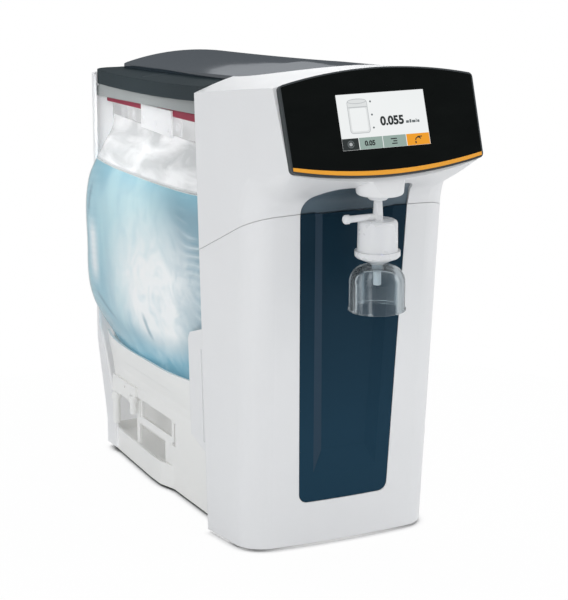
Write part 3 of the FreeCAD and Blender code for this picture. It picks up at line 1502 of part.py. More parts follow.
def make_hanger_plate():
    """The slotted plate on the outer bar."""
    x = -d.bar_x - d.film_gap / 2.0 - d.bar_thick - d.plate_thick
    body = new_body("hanger_plate", x, 0.0, 0.0)
    sketch = new_sketch(body, "YZ_Plane")
    span = d.bar_rear + d.bar_front
    rear_top = d.bar_rear_top + d.bar_rise * (d.bar_rear - d.plate_rear) / span - 2.0
    front_top = d.bar_rear_top + d.bar_rise * (d.bar_rear - d.plate_front) / span - 2.0
    draw_polygon(sketch, [(d.plate_front, d.plate_low), (d.plate_rear, d.plate_low),
                          (d.plate_rear, rear_top), (d.plate_front, front_top)])
    pad(body, sketch, d.plate_thick)
    slots = new_sketch(body, "YZ_Plane", d.plate_thick + 1.0)
    pitch = (d.plate_rear - d.plate_front) * 0.4
    for i in range(3):
        y = d.plate_front + (d.plate_rear - d.plate_front) * 0.1 + pitch * float(i)
        draw_box(slots, y - 1.4, y + 1.4, d.plate_low + 5.0, d.plate_low + 12.5)
    pocket(body, slots, d.plate_thick + 2.0)


def make_bar_hooks():
    """Two arms from the partition that carry the inner bar."""
    shapes = []
    reach = -n.bar_x + n.film_gap / 2.0 + n.bar_thick
    for y in (-30.0, n.bag_rear - 26.0):
        seat = bar_top(y + 12.0) - n.bar_height
        outline = [(-n.partition_x, seat - 14.0), (reach - 3.8, seat - 5.0), (reach - 3.8, seat),
                   (reach + 0.4, seat), (reach + 0.4, seat + 5.0), (reach + 3.4, seat + 5.0),
                   (reach + 3.4, seat), (-n.partition_x, seat)]
        shapes.append(prism_y(outline, y, y + 12.0))
    new_feature("bar_hooks", Part.makeCompound(shapes))


def bag_section(z, x_out, x_in, front, rear, heel, nose):
    """One level of the bag: a blunt rear, a slim front, drawn as a closed smooth curve."""
    span = rear - front
    shape = [(0.0, 0.5), (0.03, 0.18 + heel), (0.12, heel), (0.45, 0.0), (0.85, nose),
             (1.0, 0.5 + 0.5 * nose), (0.85, 0.95), (0.5, 1.0), (0.2, 1.0), (0.04, 0.88)]
    points = []
    for along, across in shape:
        y = rear - along * span
        x = -x_out + across * (x_out - x_in)
        points.append(Vector(x, y, z))
    curve = Part.BSplineCurve()
    curve.interpolate(points, True)
    return Part.Wire([curve.toShape()])


def bag_levels():
    """The bag's levels: height, outer and inner reach, front and rear ends, heel and nose shares."""
    foot = n.bag_shelf_top + n.bag_gap
    reach, bar, inner = n.side_reach, n.bar_x, n.partition_x
    front, rear = -n.bag_front, n.bag_rear
    hem = n.bar_rear_top - 21.3
    middle = 0.5 * (foot + hem)
    return [
        (foot, bar + 5.5, inner + 8.0, front + 60.0, rear - 26.0, 0.10, 0.35),
        (foot + 11.0, bar + 14.5, inner + 6.0, front + 34.0, rear - 12.0, 0.12, 0.40),
        (foot + 27.0, reach - 21.5, inner + 5.0, front + 18.0, rear - 4.0, 0.10, 0.42),
        (foot + 75.0, reach - 2.5, inner + 5.0, front + 8.0, rear, 0.08, 0.42),
        (middle, reach, inner + 5.0, front, rear + 1.0, 0.0, 0.26),
        (hem - 70.0, reach - 3.0, inner + 7.0, front, rear, 0.02, 0.18),
        (hem - 33.0, bar + 27.5, inner + 14.0, front + 8.0, rear + 1.0, 0.04, 0.16),
        (hem - 17.0, bar + 12.0, bar - 14.5, front + 18.0, rear + 2.0, 0.04, 0.16),
        (hem - 8.0, bar + 3.7, bar - 6.5, front + 22.0, rear + 3.0, 0.04, 0.16),
        (hem, bar + 1.3, bar - 1.3, front + 24.0, rear + 3.0, 0.04, 0.16),
    ]


def bag_form(grow):
    """The bag as one soft closed form, grown by grow on every side."""
    sections = [bag_section(z, x_out + grow, x_in - grow, front - grow, rear + grow, heel, nose)
                for z, x_out, x_in, front, rear, heel, nose in bag_levels()]
    form = Part.makeLoft(sections, True, False)
    if grow > 0.0:
        lower = form.copy()
        lower.translate(Vector(0, 0, -grow))
        form = form.fuse(lower)
    return form


def make_water_bag():
    """The water bag: bulging between the cradle and the hanging bars, with its hem."""
    front, rear = -n.bag_front + 26.0, n.bag_rear + 3.0
    hem_low = n.bar_rear_top - 22.3
    hem = prism_x([(rear - 2.0, hem_low), (rear, bar_top(rear) - 3.0),
                   (front, bar_top(front) - 3.0), (front + 2.0, hem_low)],
                  -n.bar_x - 0.4 * n.film_gap, -n.bar_x + 0.4 * n.film_gap)
    new_feature("water_bag", bag_form(0.0).fuse(hem).removeSplitter())


make_bag_cradle()
make_bulkhead()
make_drain_bracket()
spigot("rear_drain_spigot", d.bag_rear - 7.0, d.cradle_foot - 9.0, d.cradle_foot - 46.0, 4.6)
spigot("front_drain_spigot", d.bag_rear - 58.5, d.cradle_foot, d.cradle_foot - 22.0, 4.2)
make_bars()
make_hanger_plate()
make_bar_hooks()
make_water_bag()


# ---------------------------------------------------------------------------------------------
# Right side cover
# ---------------------------------------------------------------------------------------------

def cover_outline(y):
    """Three points up the outer face of the side cover: foot, middle and top."""
    share = (y - REAR_Y) / (n.rear_face - n.post_length - REAR_Y)
    top = lid_line(y) - n.lid_band - n.cover_gap
    low = n.cover_foot
    middle = 0.5 * (low + top)
    bulge = 4.0 * share * (1.0 - share)
    front = (wall_half(low), wall_half(middle), wall_half(top))
    rear = (n.rear_foot_half + 2.0, n.rear_half, n.rear_half)
    half_low, half_mid, half_high = [a + (b - a) * share for a, b in zip(front, rear)]
    half_low -= bulge
    half_mid += (n.cover_mid_reach - half_mid) * bulge
    half_high = min(half_high, lid_half(max(y, LID_FRONT)) + 6.0)
    return Vector(half_low, y, low), Vector(half_mid, y, middle), Vector(half_high, y, top)


def cover_section(y, solid):
    """An upright section of the side cover: only its wall, or filled in to the middle plane."""
    outer = cover_outline(y)
    if solid:
        inner = [Vector(0, point.y, point.z) for point in outer]
        back = Part.LineSegment(inner[2], inner[0]).toShape()
    else:
        inner = [point - Vector(n.cover_wall, 0, 0) for point in outer]
        back = Part.Arc(*reversed(inner)).toShape()
    edges = [
        Part.Arc(*outer).toShape(),
        Part.LineSegment(outer[2], inner[2]).toShape(),
        back,
        Part.LineSegment(inner[0], outer[0]).toShape(),
    ]
    return Part.Wire(edges)


def make_side_cover():
    """The right side cover, bowed both ways, with four pegs on its inner face."""
    front = REAR_Y + n.cover_gap
    rear = n.rear_face - n.post_length - n.cover_gap
    span = rear - front
    stations = [front + 0.25 * span * i for i in range(5)]
    cover = Part.makeLoft([cover_section(y, False) for y in stations], True, False)
    filled = Part.makeLoft([cover_section(y, True) for y in stations], True, False)
    tips = (n.rail_outer_half - 5.0, n.rail_outer_half - 5.0, 90.0, 96.0)
    for tip, (y, z) in zip(tips, cover_pegs()):
        peg = Part.makeCylinder(n.cover_peg_radius, 60.0, Vector(tip, y, z), Vector(1, 0, 0))
        cover = cover.fuse(peg.common(filled))
    new_feature("right_side_cover", cover)


make_side_cover()


# ---------------------------------------------------------------------------------------------
# Rear connections
# ---------------------------------------------------------------------------------------------

def make_rear_panel():
    """The recessed connection panel: a pan with cut-outs for inlet, switch, ports and socket."""
    wall = d.recess_wall
    gap = d.fit_gap
    left, right = -d.recess_left, d.recess_right
    low, high = d.recess_low, d.recess_high
    body = new_body("rear_panel", 0.0, d.rear_face - 0.5, 0.0)
    rim = new_sketch(body, "XZ_Plane")
    draw_box(rim, left, right, low, high)
    pad(body, rim, d.recess_depth)
    hollow = new_sketch(body, "XZ_Plane")
    draw_box(hollow, left + wall, right - wall, low + wall, high - wall)
    pocket(body, hollow, d.recess_depth - wall, back=True)
    cuts = new_sketch(body, "XZ_Plane", -1.0)
    draw_box(cuts, INLET_X - 14.0, INLET_X + 14.0, SOCKET_Z - 10.5, SOCKET_Z + 10.5)
    draw_box(cuts, SWITCH_X - d.switch_wide / 2.0 - 2.2, SWITCH_X + d.switch_wide / 2.0 + 2.2,
             SOCKET_Z - d.switch_tall / 2.0 - 2.2, SOCKET_Z + d.switch_tall / 2.0 + 2.2)
    for x in (FEED_X, DRAIN_X):
        draw_circle(cuts, x, PORT_Z, d.port_radius - 1.5 + gap)
    draw_box(cuts, DATA_X - 8.0, DATA_X + 8.0, PORT_Z - 7.0, PORT_Z + 7.0)
    pocket(body, cuts, d.recess_depth + 3.0, back=True)


PORT_Z = 128.0
SOCKET_Z = 76.0
INLET_X = -27.0
SWITCH_X = 12.0
FEED_X = 66.0
DRAIN_X = 36.0
DATA_X = -30.0
floor_y = d.rear_face - 0.5 - d.recess_depth + d.recess_wall


def make_power_inlet():
    """The mains inlet: a flanged shell with an open socket and three flat pins."""
    body = new_body("power_inlet", 0.0, 0.0, 0.0)
    flange = new_sketch(body, "XZ_Plane", -(floor_y + 2.0))
    draw_box(flange, INLET_X - 20.0, INLET_X + 20.0, SOCKET_Z - 14.0, SOCKET_Z + 14.0)
    pad(body, flange, 2.0)
    shell = new_sketch(body, "XZ_Plane", -floor_y)
    draw_box(shell, INLET_X - 13.8, INLET_X + 13.8, SOCKET_Z - 10.3, SOCKET_Z + 10.3)
    pad(body, shell, 22.0)
    socket = new_sketch(body, "XZ_Plane", -(floor_y + 2.0))
    draw_box(socket, INLET_X - 12.0, INLET_X + 12.0, SOCKET_Z - 8.0, SOCKET_Z + 8.0)
    pocket(body, socket, 17.0, back=True)
    pins = new_sketch(body, "XZ_Plane", -(floor_y - 16.0))
    for x, z in ((-7.0, -2.0), (0.0, 2.0), (7.0, -2.0)):
        draw_box(pins, INLET_X + x - 1.0, INLET_X + x + 1.0, SOCKET_Z + z - 2.0, SOCKET_Z + z + 2.0)
    pad(body, pins, 14.0, back=True)


def make_switch():
    """The mains switch: a frame with pivot holes and the rocker that tips in it."""
    half_wide = d.switch_wide / 2.0
    half_tall = d.switch_tall / 2.0
    frame = new_body("switch_frame", 0.0, 0.0, 0.0)
    flange = new_sketch(frame, "XZ_Plane", -(floor_y + 1.6))
    draw_box(flange, SWITCH_X - half_wide - 4.0, SWITCH_X + half_wide + 4.0,
             SOCKET_Z - half_tall - 4.0, SOCKET_Z + half_tall + 4.0)
    pad(frame, flange, 1.6)
    shell = new_sketch(frame, "XZ_Plane", -floor_y)
    draw_box(shell, SWITCH_X - half_wide - 2.0, SWITCH_X + half_wide + 2.0,
             SOCKET_Z - half_tall - 2.0, SOCKET_Z + half_tall + 2.0)
    pad(frame, shell, 16.0)
    well = new_sketch(frame, "XZ_Plane", -(floor_y + 1.6))
    draw_box(well, SWITCH_X - half_wide - 0.3, SWITCH_X + half_wide + 0.3,
             SOCKET_Z - half_tall - 0.5, SOCKET_Z + half_tall + 0.5)
    pocket(frame, well, 15.6, back=True)
    holes = new_sketch(frame, "YZ_Plane", SWITCH_X + half_wide + 3.0)
    draw_circle(holes, floor_y - 4.0, SOCKET_Z, d.switch_pivot_radius)
    pocket(frame, holes, d.switch_wide + 6.0)
    rocker = new_body("power_switch", SWITCH_X - half_wide, 0.0, 0.0)
    side = new_sketch(rocker, "YZ_Plane")
    draw_polygon(side, [(floor_y - 8.0, SOCKET_Z - 3.0), (floor_y - 8.0, SOCKET_Z + 3.0),
                        (floor_y - 1.2, SOCKET_Z + half_tall - 0.8),
                        (floor_y + 1.8, SOCKET_Z + half_tall - 0.8), (floor_y + 0.8, SOCKET_Z),
                        (floor_y + 1.8, SOCKET_Z - half_tall + 0.8),
                        (floor_y - 1.2, SOCKET_Z - half_tall + 0.8)])
    pad(rocker, side, d.switch_wide)
    stubs = new_sketch(rocker, "YZ_Plane", -1.8)
    draw_circle(stubs, floor_y - 4.0, SOCKET_Z, d.switch_pivot_radius - d.shaft_fit)
    pad(rocker, stubs, d.switch_wide + 3.6)


def make_port(label, x):
    """A push-fit water port: bore for the tube, hex body, flange and a nut inside the panel."""
    bore = d.port_bore
    body = new_body(label, x, 0.0, PORT_Z)
    flange = new_sketch(body, "XZ_Plane", -(floor_y + d.port_length))
    draw_circle(flange, 0.0, 0.0, d.port_radius - 0.5)
    draw_circle(flange, 0.0, 0.0, bore)
    pad(body, flange, d.port_length)
    stem = new_sketch(body, "XZ_Plane", -floor_y)
    draw_circle(stem, 0.0, 0.0, d.port_radius - 1.5)
    draw_circle(stem, 0.0, 0.0, 2.6)
    pad(body, stem, 14.0)
    nut = new_sketch(body, "XZ_Plane", -(floor_y - d.recess_wall))
    corners = []
    for i in range(6):
        turn = math.radians(60.0 * i)
        corners.append((d.port_radius * math.cos(turn), d.port_radius * math.sin(turn)))
    draw_polygon(nut, corners)
    draw_circle(nut, 0.0, 0.0, 2.6)
    pad(body, nut, 5.0)


def make_data_port():
    body = new_body("data_port", 0.0, 0.0, 0.0)
    flange = new_sketch(body, "XZ_Plane", -(floor_y + 0.8))
    draw_box(flange, DATA_X - 9.5, DATA_X + 9.5, PORT_Z - 8.5, PORT_Z + 8.5)
    pad(body, flange, 0.8)
    shell = new_sketch(body, "XZ_Plane", -(floor_y + 0.8))
    draw_box(shell, DATA_X - 7.8, DATA_X + 7.8, PORT_Z - 6.8, PORT_Z + 6.8)
    pad(body, shell, 16.0)
    socket = new_sketch(body, "XZ_Plane", -(floor_y + 0.8))
    draw_box(socket, DATA_X - 6.0, DATA_X + 6.0, PORT_Z - 4.6, PORT_Z + 4.6)
    pocket(body, socket, 12.0, back=True)


make_rear_panel()
make_power_inlet()
make_switch()
make_port("feed_water_port", FEED_X)
make_port("drain_port", DRAIN_X)
make_data_port()


# ---------------------------------------------------------------------------------------------
# Purification train in the right bay
# ---------------------------------------------------------------------------------------------

def cartridge_places():
    return [("front", d.cartridge_front_y), ("rear", d.cartridge_front_y + d.cartridge_pitch)]


def make_cartridges():
    """Two twist-lock cartridges: ribbed caps, a smooth body and a locating nose."""
    top = d.cartridge_length
    cap = d.cap_length
    radius = d.cartridge_radius
    for name, y in cartridge_places():
        revolved(name + "_cartridge", [
            (0.0, -3.0), (9.0, -3.0), (9.0, 0.0), (radius - 3.0, 0.0), (radius, 3.0),
            (radius, cap), (radius - 1.6, cap + 1.0), (radius - 1.6, top - cap - 1.0),
            (radius, top - cap), (radius, top - 3.0), (radius - 3.0, top), (9.0, top),
            (9.0, top + 4.0), (0.0, top + 4.0),
        ], d.cartridge_x, y, d.cartridge_foot)


def make_cartridge_holder():
    """The shelf under the cartridges on four legs, with a seat for each nose."""
    x_low, x_high = d.cartridge_x - 36.0, d.cartridge_x + 35.0
    y_low = d.cartridge_front_y - 36.0
    y_high = d.cartridge_front_y + d.cartridge_pitch + 36.0
    top = d.cartridge_foot - d.cap_fit
    body = block("cartridge_holder", x_low, x_high, y_low, y_high, top - d.holder_thick, top)
    seats = new_sketch(body, "XY_Plane", d.cartridge_foot)
    for name, y in cartridge_places():
        draw_circle(seats, d.cartridge_x, y, 9.0 + d.cap_fit)
    pocket(body, seats, d.holder_thick + 3.0)
    legs = new_sketch(body, "XY_Plane", top - d.holder_thick)
    for x in (x_low, d.tray_front_half - d.tray_wall - 10.0):
        for y in (y_low, y_high - 8.0):
            draw_box(legs, x, as_size(x) + 8.0, y, as_size(y) + 8.0)
    pad(body, legs, top - d.holder_thick - d.tray_floor, back=True)


def make_manifold():
    """The manifold block over the cartridges, with a bore for each top nose."""
    top_z = d.cartridge_foot + d.cartridge_length + d.cap_fit
    x_low, x_high = -d.partition_x + d.partition_thick + 6.0, d.cartridge_x + 34.0
    y_low = d.cartridge_front_y - 24.0
    y_high = d.cartridge_front_y + d.cartridge_pitch + 24.0
    body = block("manifold_block", x_low, x_high, y_low, y_high, top_z, top_z + 22.0)
    seats = new_sketch(body, "XY_Plane", top_z - 1.0)
    for name, y in cartridge_places():
        draw_circle(seats, d.cartridge_x, y, 9.0 + d.cap_fit)
    pocket(body, seats, 6.0 + d.cap_fit, back=True)
    round_edges(body, 4.0, lambda e: is_upright(e) and e.Length > 20.0)
    ear = new_sketch(body, "XY_Plane", top_z)
    draw_box(ear, -d.partition_x + d.partition_thick, x_low + 5.0, 30.0, 60.0)
    pad(body, ear, 8.0)


def make_module(label, x, y, radius, low, high, neck):
    """An upright pressure tube with stepped end caps and axial necks."""
    revolved(label, [
        (0.0, low - 8.0), (neck, low - 8.0), (neck, low), (radius - 2.0, low), (radius, low + 2.0),
        (radius, low + 16.0), (radius - 2.4, low + 18.0), (radius - 2.4, high - 18.0),
        (radius, high - 16.0), (radius, high - 2.0), (radius - 2.0, high), (neck, high),
        (neck, high + 8.0), (0.0, high + 8.0),
    ], x, y, 0.0)


def make_module_clips():
    """Saddle clips on the partition that carry the reverse osmosis module and the reactor."""
    shapes = []
    wall_x = -n.partition_x + n.partition_thick
    for x, y, radius in ((MODULE_X, MODULE_Y, n.module_radius - 2.4),
                         (REACTOR_X, REACTOR_Y, n.reactor_radius - 2.4)):
        for z in (150.0, 300.0):
            outer = Part.makeCylinder(radius + 3.2, 12.0, Vector(x, y, z))
            arm = box_between(wall_x, x, y - 8.0, y + 8.0, z, z + 12.0)
            clip = outer.fuse(arm)
            clip = clip.cut(Part.makeCylinder(radius + n.shaft_fit, 14.0, Vector(x, y, z - 1.0)))
            mouth = box_between(x + 0.5 * radius, x + 2.0 * radius, y - 2.0 * radius,
                                y + 2.0 * radius, z - 1.0, z + 13.0)
            shapes.append(clip.cut(mouth).removeSplitter())
    new_feature("module_clips", Part.makeCompound(shapes))


MODULE_X = -14.0
MODULE_Y = 176.0
REACTOR_X = -24.0
REACTOR_Y = 116.0
REACTOR_FOOT = 130.0
PUMP_X = -24.0
pump_front = as_size(-36.0)
AXIS_Z = d.pump_axis_height


def make_pump():
    """The circulation pump: motor, pump head, bracket, and the rotor that spins in the head."""
    front = pump_front
    head_rear = front + d.pump_length
    motor = new_body("pump_motor", PUMP_X, 0.0, AXIS_Z)
    can = new_sketch(motor, "XZ_Plane", -(head_rear + 3.0 + d.motor_length))
    draw_circle(can, 0.0, 0.0, d.motor_radius)
    pad(motor, can, d.motor_length)
    boss = new_sketch(motor, "XZ_Plane", -(head_rear + 3.0 + d.motor_length + 5.0))
    draw_circle(boss, 0.0, 0.0, 9.0)
    pad(motor, boss, 5.0)
    bore = new_sketch(motor, "XZ_Plane", -(head_rear + 2.0))
    draw_circle(bore, 0.0, 0.0, d.shaft_radius + d.shaft_fit)
    pocket(motor, bore, 24.0)

    head = new_body("pump_head", PUMP_X, 0.0, AXIS_Z)
    can = new_sketch(head, "XZ_Plane", -head_rear)
    draw_circle(can, 0.0, 0.0, d.pump_radius)
    pad(head, can, d.pump_length)
    chamber = new_sketch(head, "XZ_Plane", -(head_rear - 4.0))
    draw_circle(chamber, 0.0, 0.0, d.rotor_radius + d.rotor_fit)
    pocket(head, chamber, d.pump_length - 8.0, back=True)
    bore = new_sketch(head, "XZ_Plane", -(head_rear + 1.0))
    draw_circle(bore, 0.0, 0.0, d.shaft_radius + d.shaft_fit)
    pocket(head, bore, 12.0, back=True)
    middle = front + d.pump_length / 2.0
    inlet = new_sketch(head, "YZ_Plane", d.pump_radius - 3.0)
    draw_circle(inlet, middle, 0.0, 5.0)
    pad(head, inlet, 10.0)
    outlet = new_sketch(head, "XY_Plane", d.pump_radius - 3.0)
    draw_circle(outlet, 0.0, middle, 5.0)
    pad(head, outlet, 10.0)

    rotor = new_body("pump_rotor", PUMP_X, 0.0, AXIS_Z)
    hub_front = front + 4.0 + d.rotor_fit
    hub_rear = head_rear - 4.0 - d.rotor_fit
    vanes = new_sketch(rotor, "XZ_Plane", -hub_rear)
    corners = []
    vane_count = 6
    for i in range(vane_count):
        turn = 2.0 * math.pi * i / vane_count
        for shift, share in ((-0.30, 0.62), (-0.12, 1.0), (0.12, 1.0), (0.30, 0.62)):
            reach = d.rotor_radius * share
            corners.append((reach * math.cos(turn + shift), reach * math.sin(turn + shift)))
    draw_polygon(vanes, corners)
    pad(rotor, vanes, hub_rear - hub_front)
    shaft = new_sketch(rotor, "XZ_Plane", -(head_rear + 18.0))
    draw_circle(shaft, 0.0, 0.0, d.shaft_radius)
    pad(rotor, shaft, 18.0 + 4.0 + 6.0)

    bracket = new_body("pump_bracket", PUMP_X, 0.0, 0.0)
    sole = new_sketch(bracket, "XY_Plane", d.tray_floor)
    draw_box(sole, -26.0, 26.0, head_rear - 3.0, head_rear + 3.0 + d.motor_length - 6.0)
    pad(bracket, sole, 3.0)
    plate = new_sketch(bracket, "XZ_Plane", -(head_rear + 3.0))
    draw_polygon(plate, [(-26.0, d.tray_floor), (26.0, d.tray_floor), (26.0, AXIS_Z + 10.0),
                         (14.0, AXIS_Z + 24.0), (-14.0, AXIS_Z + 24.0), (-26.0, AXIS_Z + 10.0)])
    pad(bracket, plate, 3.0)
    hole = new_sketch(bracket, "XZ_Plane", -(head_rear + 4.0))
    draw_circle(hole, 0.0, AXIS_Z, 8.0)
    pocket(bracket, hole, 6.0, back=True)


def make_power_supply():
    """The power supply: a ventilated box behind the cartridges."""
    y_high = floor_y - 24.0
    body = block("power_supply", 30.0, 88.0, y_high - 64.0, y_high, d.tray_floor, 92.0)
    vents = new_sketch(body, "XZ_Plane", -(y_high - 64.0) + 1.0)
    for i in range(6):
        z = 30.0 + 9.0 * i
        draw_box(vents, 36.0, 82.0, z, z + 4.0)
    pocket(body, vents, 4.0)


def make_main_board():
    """The main controller board on the partition, with its larger parts."""
    face = -d.partition_x + d.partition_thick + 4.5
    body = new_body("main_board", face, 0.0, 0.0)
    sheet_sketch = new_sketch(body, "YZ_Plane")
    draw_box(sheet_sketch, -60.0, 78.0, 180.0, 330.0)
    pad(body, sheet_sketch, 1.6)
    for y, z, wide, tall, high in ((-30.0, 300.0, 24.0, 24.0, 3.0), (20.0, 290.0, 30.0, 12.0, 9.0),
                                   (-30.0, 220.0, 40.0, 16.0, 12.0), (40.0, 220.0, 16.0, 16.0, 14.0)):
        part = new_sketch(body, "YZ_Plane", 1.6)
        draw_box(part, y - wide / 2.0, y + wide / 2.0, z - tall / 2.0, z + tall / 2.0)
        pad(body, part, high)


def make_valve(label, x, y, z):
    """A solenoid valve: a square body under a round coil."""
    body = new_body(label, x, y, z)
    sole = new_sketch(body, "XY_Plane")
    draw_box(sole, -12.0, 12.0, -12.0, 12.0)
    pad(body, sole, 16.0)
    coil = new_sketch(body, "XY_Plane", 16.0)
    draw_circle(coil, 0.0, 0.0, 11.0)
    pad(body, coil, 24.0)
    cap = new_sketch(body, "XY_Plane", 40.0)
    draw_circle(cap, 0.0, 0.0, 5.0)
    pad(body, cap, 3.0)


def tube_run(points, radius, bend):
    """A tube along straight runs joined by tangent arcs."""
    corners = [Vector(*point) for point in points]
    edges = []
    start = corners[0]
    for i in range(1, len(corners) - 1):
        corner = corners[i]
        back = (corners[i - 1] - corner).normalize()
        ahead = (corners[i + 1] - corner).normalize()
        half_turn = math.acos(max(-1.0, min(1.0, back.dot(ahead)))) / 2.0
        reach = bend / math.tan(half_turn)
        arc_start = corner + back * reach
        arc_end = corner + ahead * reach
        bisector = (back + ahead).normalize()
        middle = corner + bisector * (bend / math.sin(half_turn) - bend)
        edges.append(Part.LineSegment(start, arc_start).toShape())
        edges.append(Part.Arc(arc_start, middle, arc_end).toShape())
        start = arc_end
    edges.append(Part.LineSegment(start, corners[-1]).toShape())
    path = Part.Wire(edges)
    direction = (corners[1] - corners[0]).normalize()
    profile = Part.Wire([Part.makeCircle(radius, corners[0], direction)])
    return path.makePipeShell([profile], True, False)


def make_tubes():
    """Inner tubing: feed to pump, pump to modules, return to the bag and line to the outlet."""
    radius = n.tube_radius
    bend = n.tube_bend
    port_end = n.rear_face - 0.5 - n.recess_depth + n.recess_wall - 14.0
    manifold_top = n.cartridge_foot + n.cartridge_length + n.cap_fit + 22.0
    outlet_top = n.boss_foot + 22.0
    pump_y = pump_front.value + n.pump_length / 2.0
    stub_end = n.pump_radius + 7.0
    axis_z = n.pump_axis_height
    column = PUMP_X + stub_end + 12.0
    feed = tube_run([(FEED_X, port_end, PORT_Z), (FEED_X, port_end - 20.0, PORT_Z),
                     (column, port_end - 20.0, PORT_Z), (column, port_end - 20.0, 100.0),
                     (column, pump_y, 100.0), (column, pump_y, axis_z),
                     (PUMP_X + stub_end, pump_y, axis_z)], radius, 9.0)
    new_feature("feed_tube", feed)
    pressure = tube_run([(PUMP_X, pump_y, axis_z + stub_end), (PUMP_X, pump_y, axis_z + stub_end + 14.0),
                         (PUMP_X, REACTOR_Y, axis_z + stub_end + 14.0),
                         (PUMP_X, REACTOR_Y, REACTOR_FOOT - 8.0)], radius, 9.0)
    new_feature("pressure_tube", pressure)
    crossing = outlet_top + bend + 2.0
    line = tube_run([(0.0, 8.0, manifold_top), (0.0, 8.0, crossing),
                     (0.0, -n.outlet_axis, crossing), (0.0, -n.outlet_axis, outlet_top)],
                    radius - 0.6, bend)
    new_feature("dispense_tube", line)
    module_top = n.cartridge_foot + n.cartridge_length - 10.0
    cross = tube_run([(MODULE_X, MODULE_Y, module_top + 8.0), (MODULE_X, MODULE_Y, manifold_top + 30.0),
                      (MODULE_X, 60.0, manifold_top + 30.0), (MODULE_X, 60.0, manifold_top)],
                     radius, bend)
    new_feature("module_tube", cross)


make_cartridges()
make_cartridge_holder()
make_manifold()
make_module("osmosis_module", MODULE_X, MODULE_Y, d.module_radius, as_size(70.0),
            d.cartridge_foot + d.cartridge_length - 10.0, 6.0)
make_module("uv_reactor", REACTOR_X, REACTOR_Y, d.reactor_radius, as_size(REACTOR_FOOT),
            d.cartridge_foot + d.cartridge_length - 12.0, 4.0)
make_module_clips()
make_pump()
make_power_supply()
make_main_board()
make_valve("inlet_valve", 4.0, 130.0, d.tray_floor)
make_valve("drain_valve", 4.0, 100.0, d.tray_floor)
make_tubes()


# ---------------------------------------------------------------------------------------------
# Check and write
# ---------------------------------------------------------------------------------------------

doc.recompute()
for item in doc.Objects:
    if "Invalid" in item.State or "Error" in item.State:
        raise RuntimeError("%s did not compute: %s" % (item.Name, item.State))
os.makedirs("parts", exist_ok=True)
for piece in pieces:
    shape = piece.Shape
    if shape.isNull() or not shape.isValid() or shape.Volume < 1.0:
        raise RuntimeError("%s has no valid shape" % piece.Label)
for piece in pieces:
    piece.Shape.exportStep(os.path.join("parts", piece.Label + ".step"))
total = sum(piece.Shape.Volume for piece in pieces)
print("pieces", len(pieces), "volume in litres", round(total / 1e6, 3))
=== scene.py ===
import json
import math

import bpy
from mathutils import Matrix, Vector, noise


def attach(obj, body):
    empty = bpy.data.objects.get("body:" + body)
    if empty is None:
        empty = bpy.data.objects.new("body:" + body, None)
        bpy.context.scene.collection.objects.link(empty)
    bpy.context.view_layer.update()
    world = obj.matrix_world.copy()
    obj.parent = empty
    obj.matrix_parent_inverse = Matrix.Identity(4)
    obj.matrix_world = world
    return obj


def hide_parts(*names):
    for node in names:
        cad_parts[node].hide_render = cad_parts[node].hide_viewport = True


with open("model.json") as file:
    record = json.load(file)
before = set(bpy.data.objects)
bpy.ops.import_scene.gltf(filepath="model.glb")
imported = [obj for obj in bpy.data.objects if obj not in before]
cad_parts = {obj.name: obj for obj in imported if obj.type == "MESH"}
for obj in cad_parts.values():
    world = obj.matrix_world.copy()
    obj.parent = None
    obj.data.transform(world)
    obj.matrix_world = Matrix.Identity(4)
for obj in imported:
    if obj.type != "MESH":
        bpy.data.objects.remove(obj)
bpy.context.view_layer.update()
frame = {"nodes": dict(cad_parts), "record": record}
NODES = frame["nodes"]
MM = 0.001
CLEAR_WHITE = (1.0, 1.0, 1.0, 1.0)


# ---------------------------------------------------------------------------
# Materials
# ---------------------------------------------------------------------------

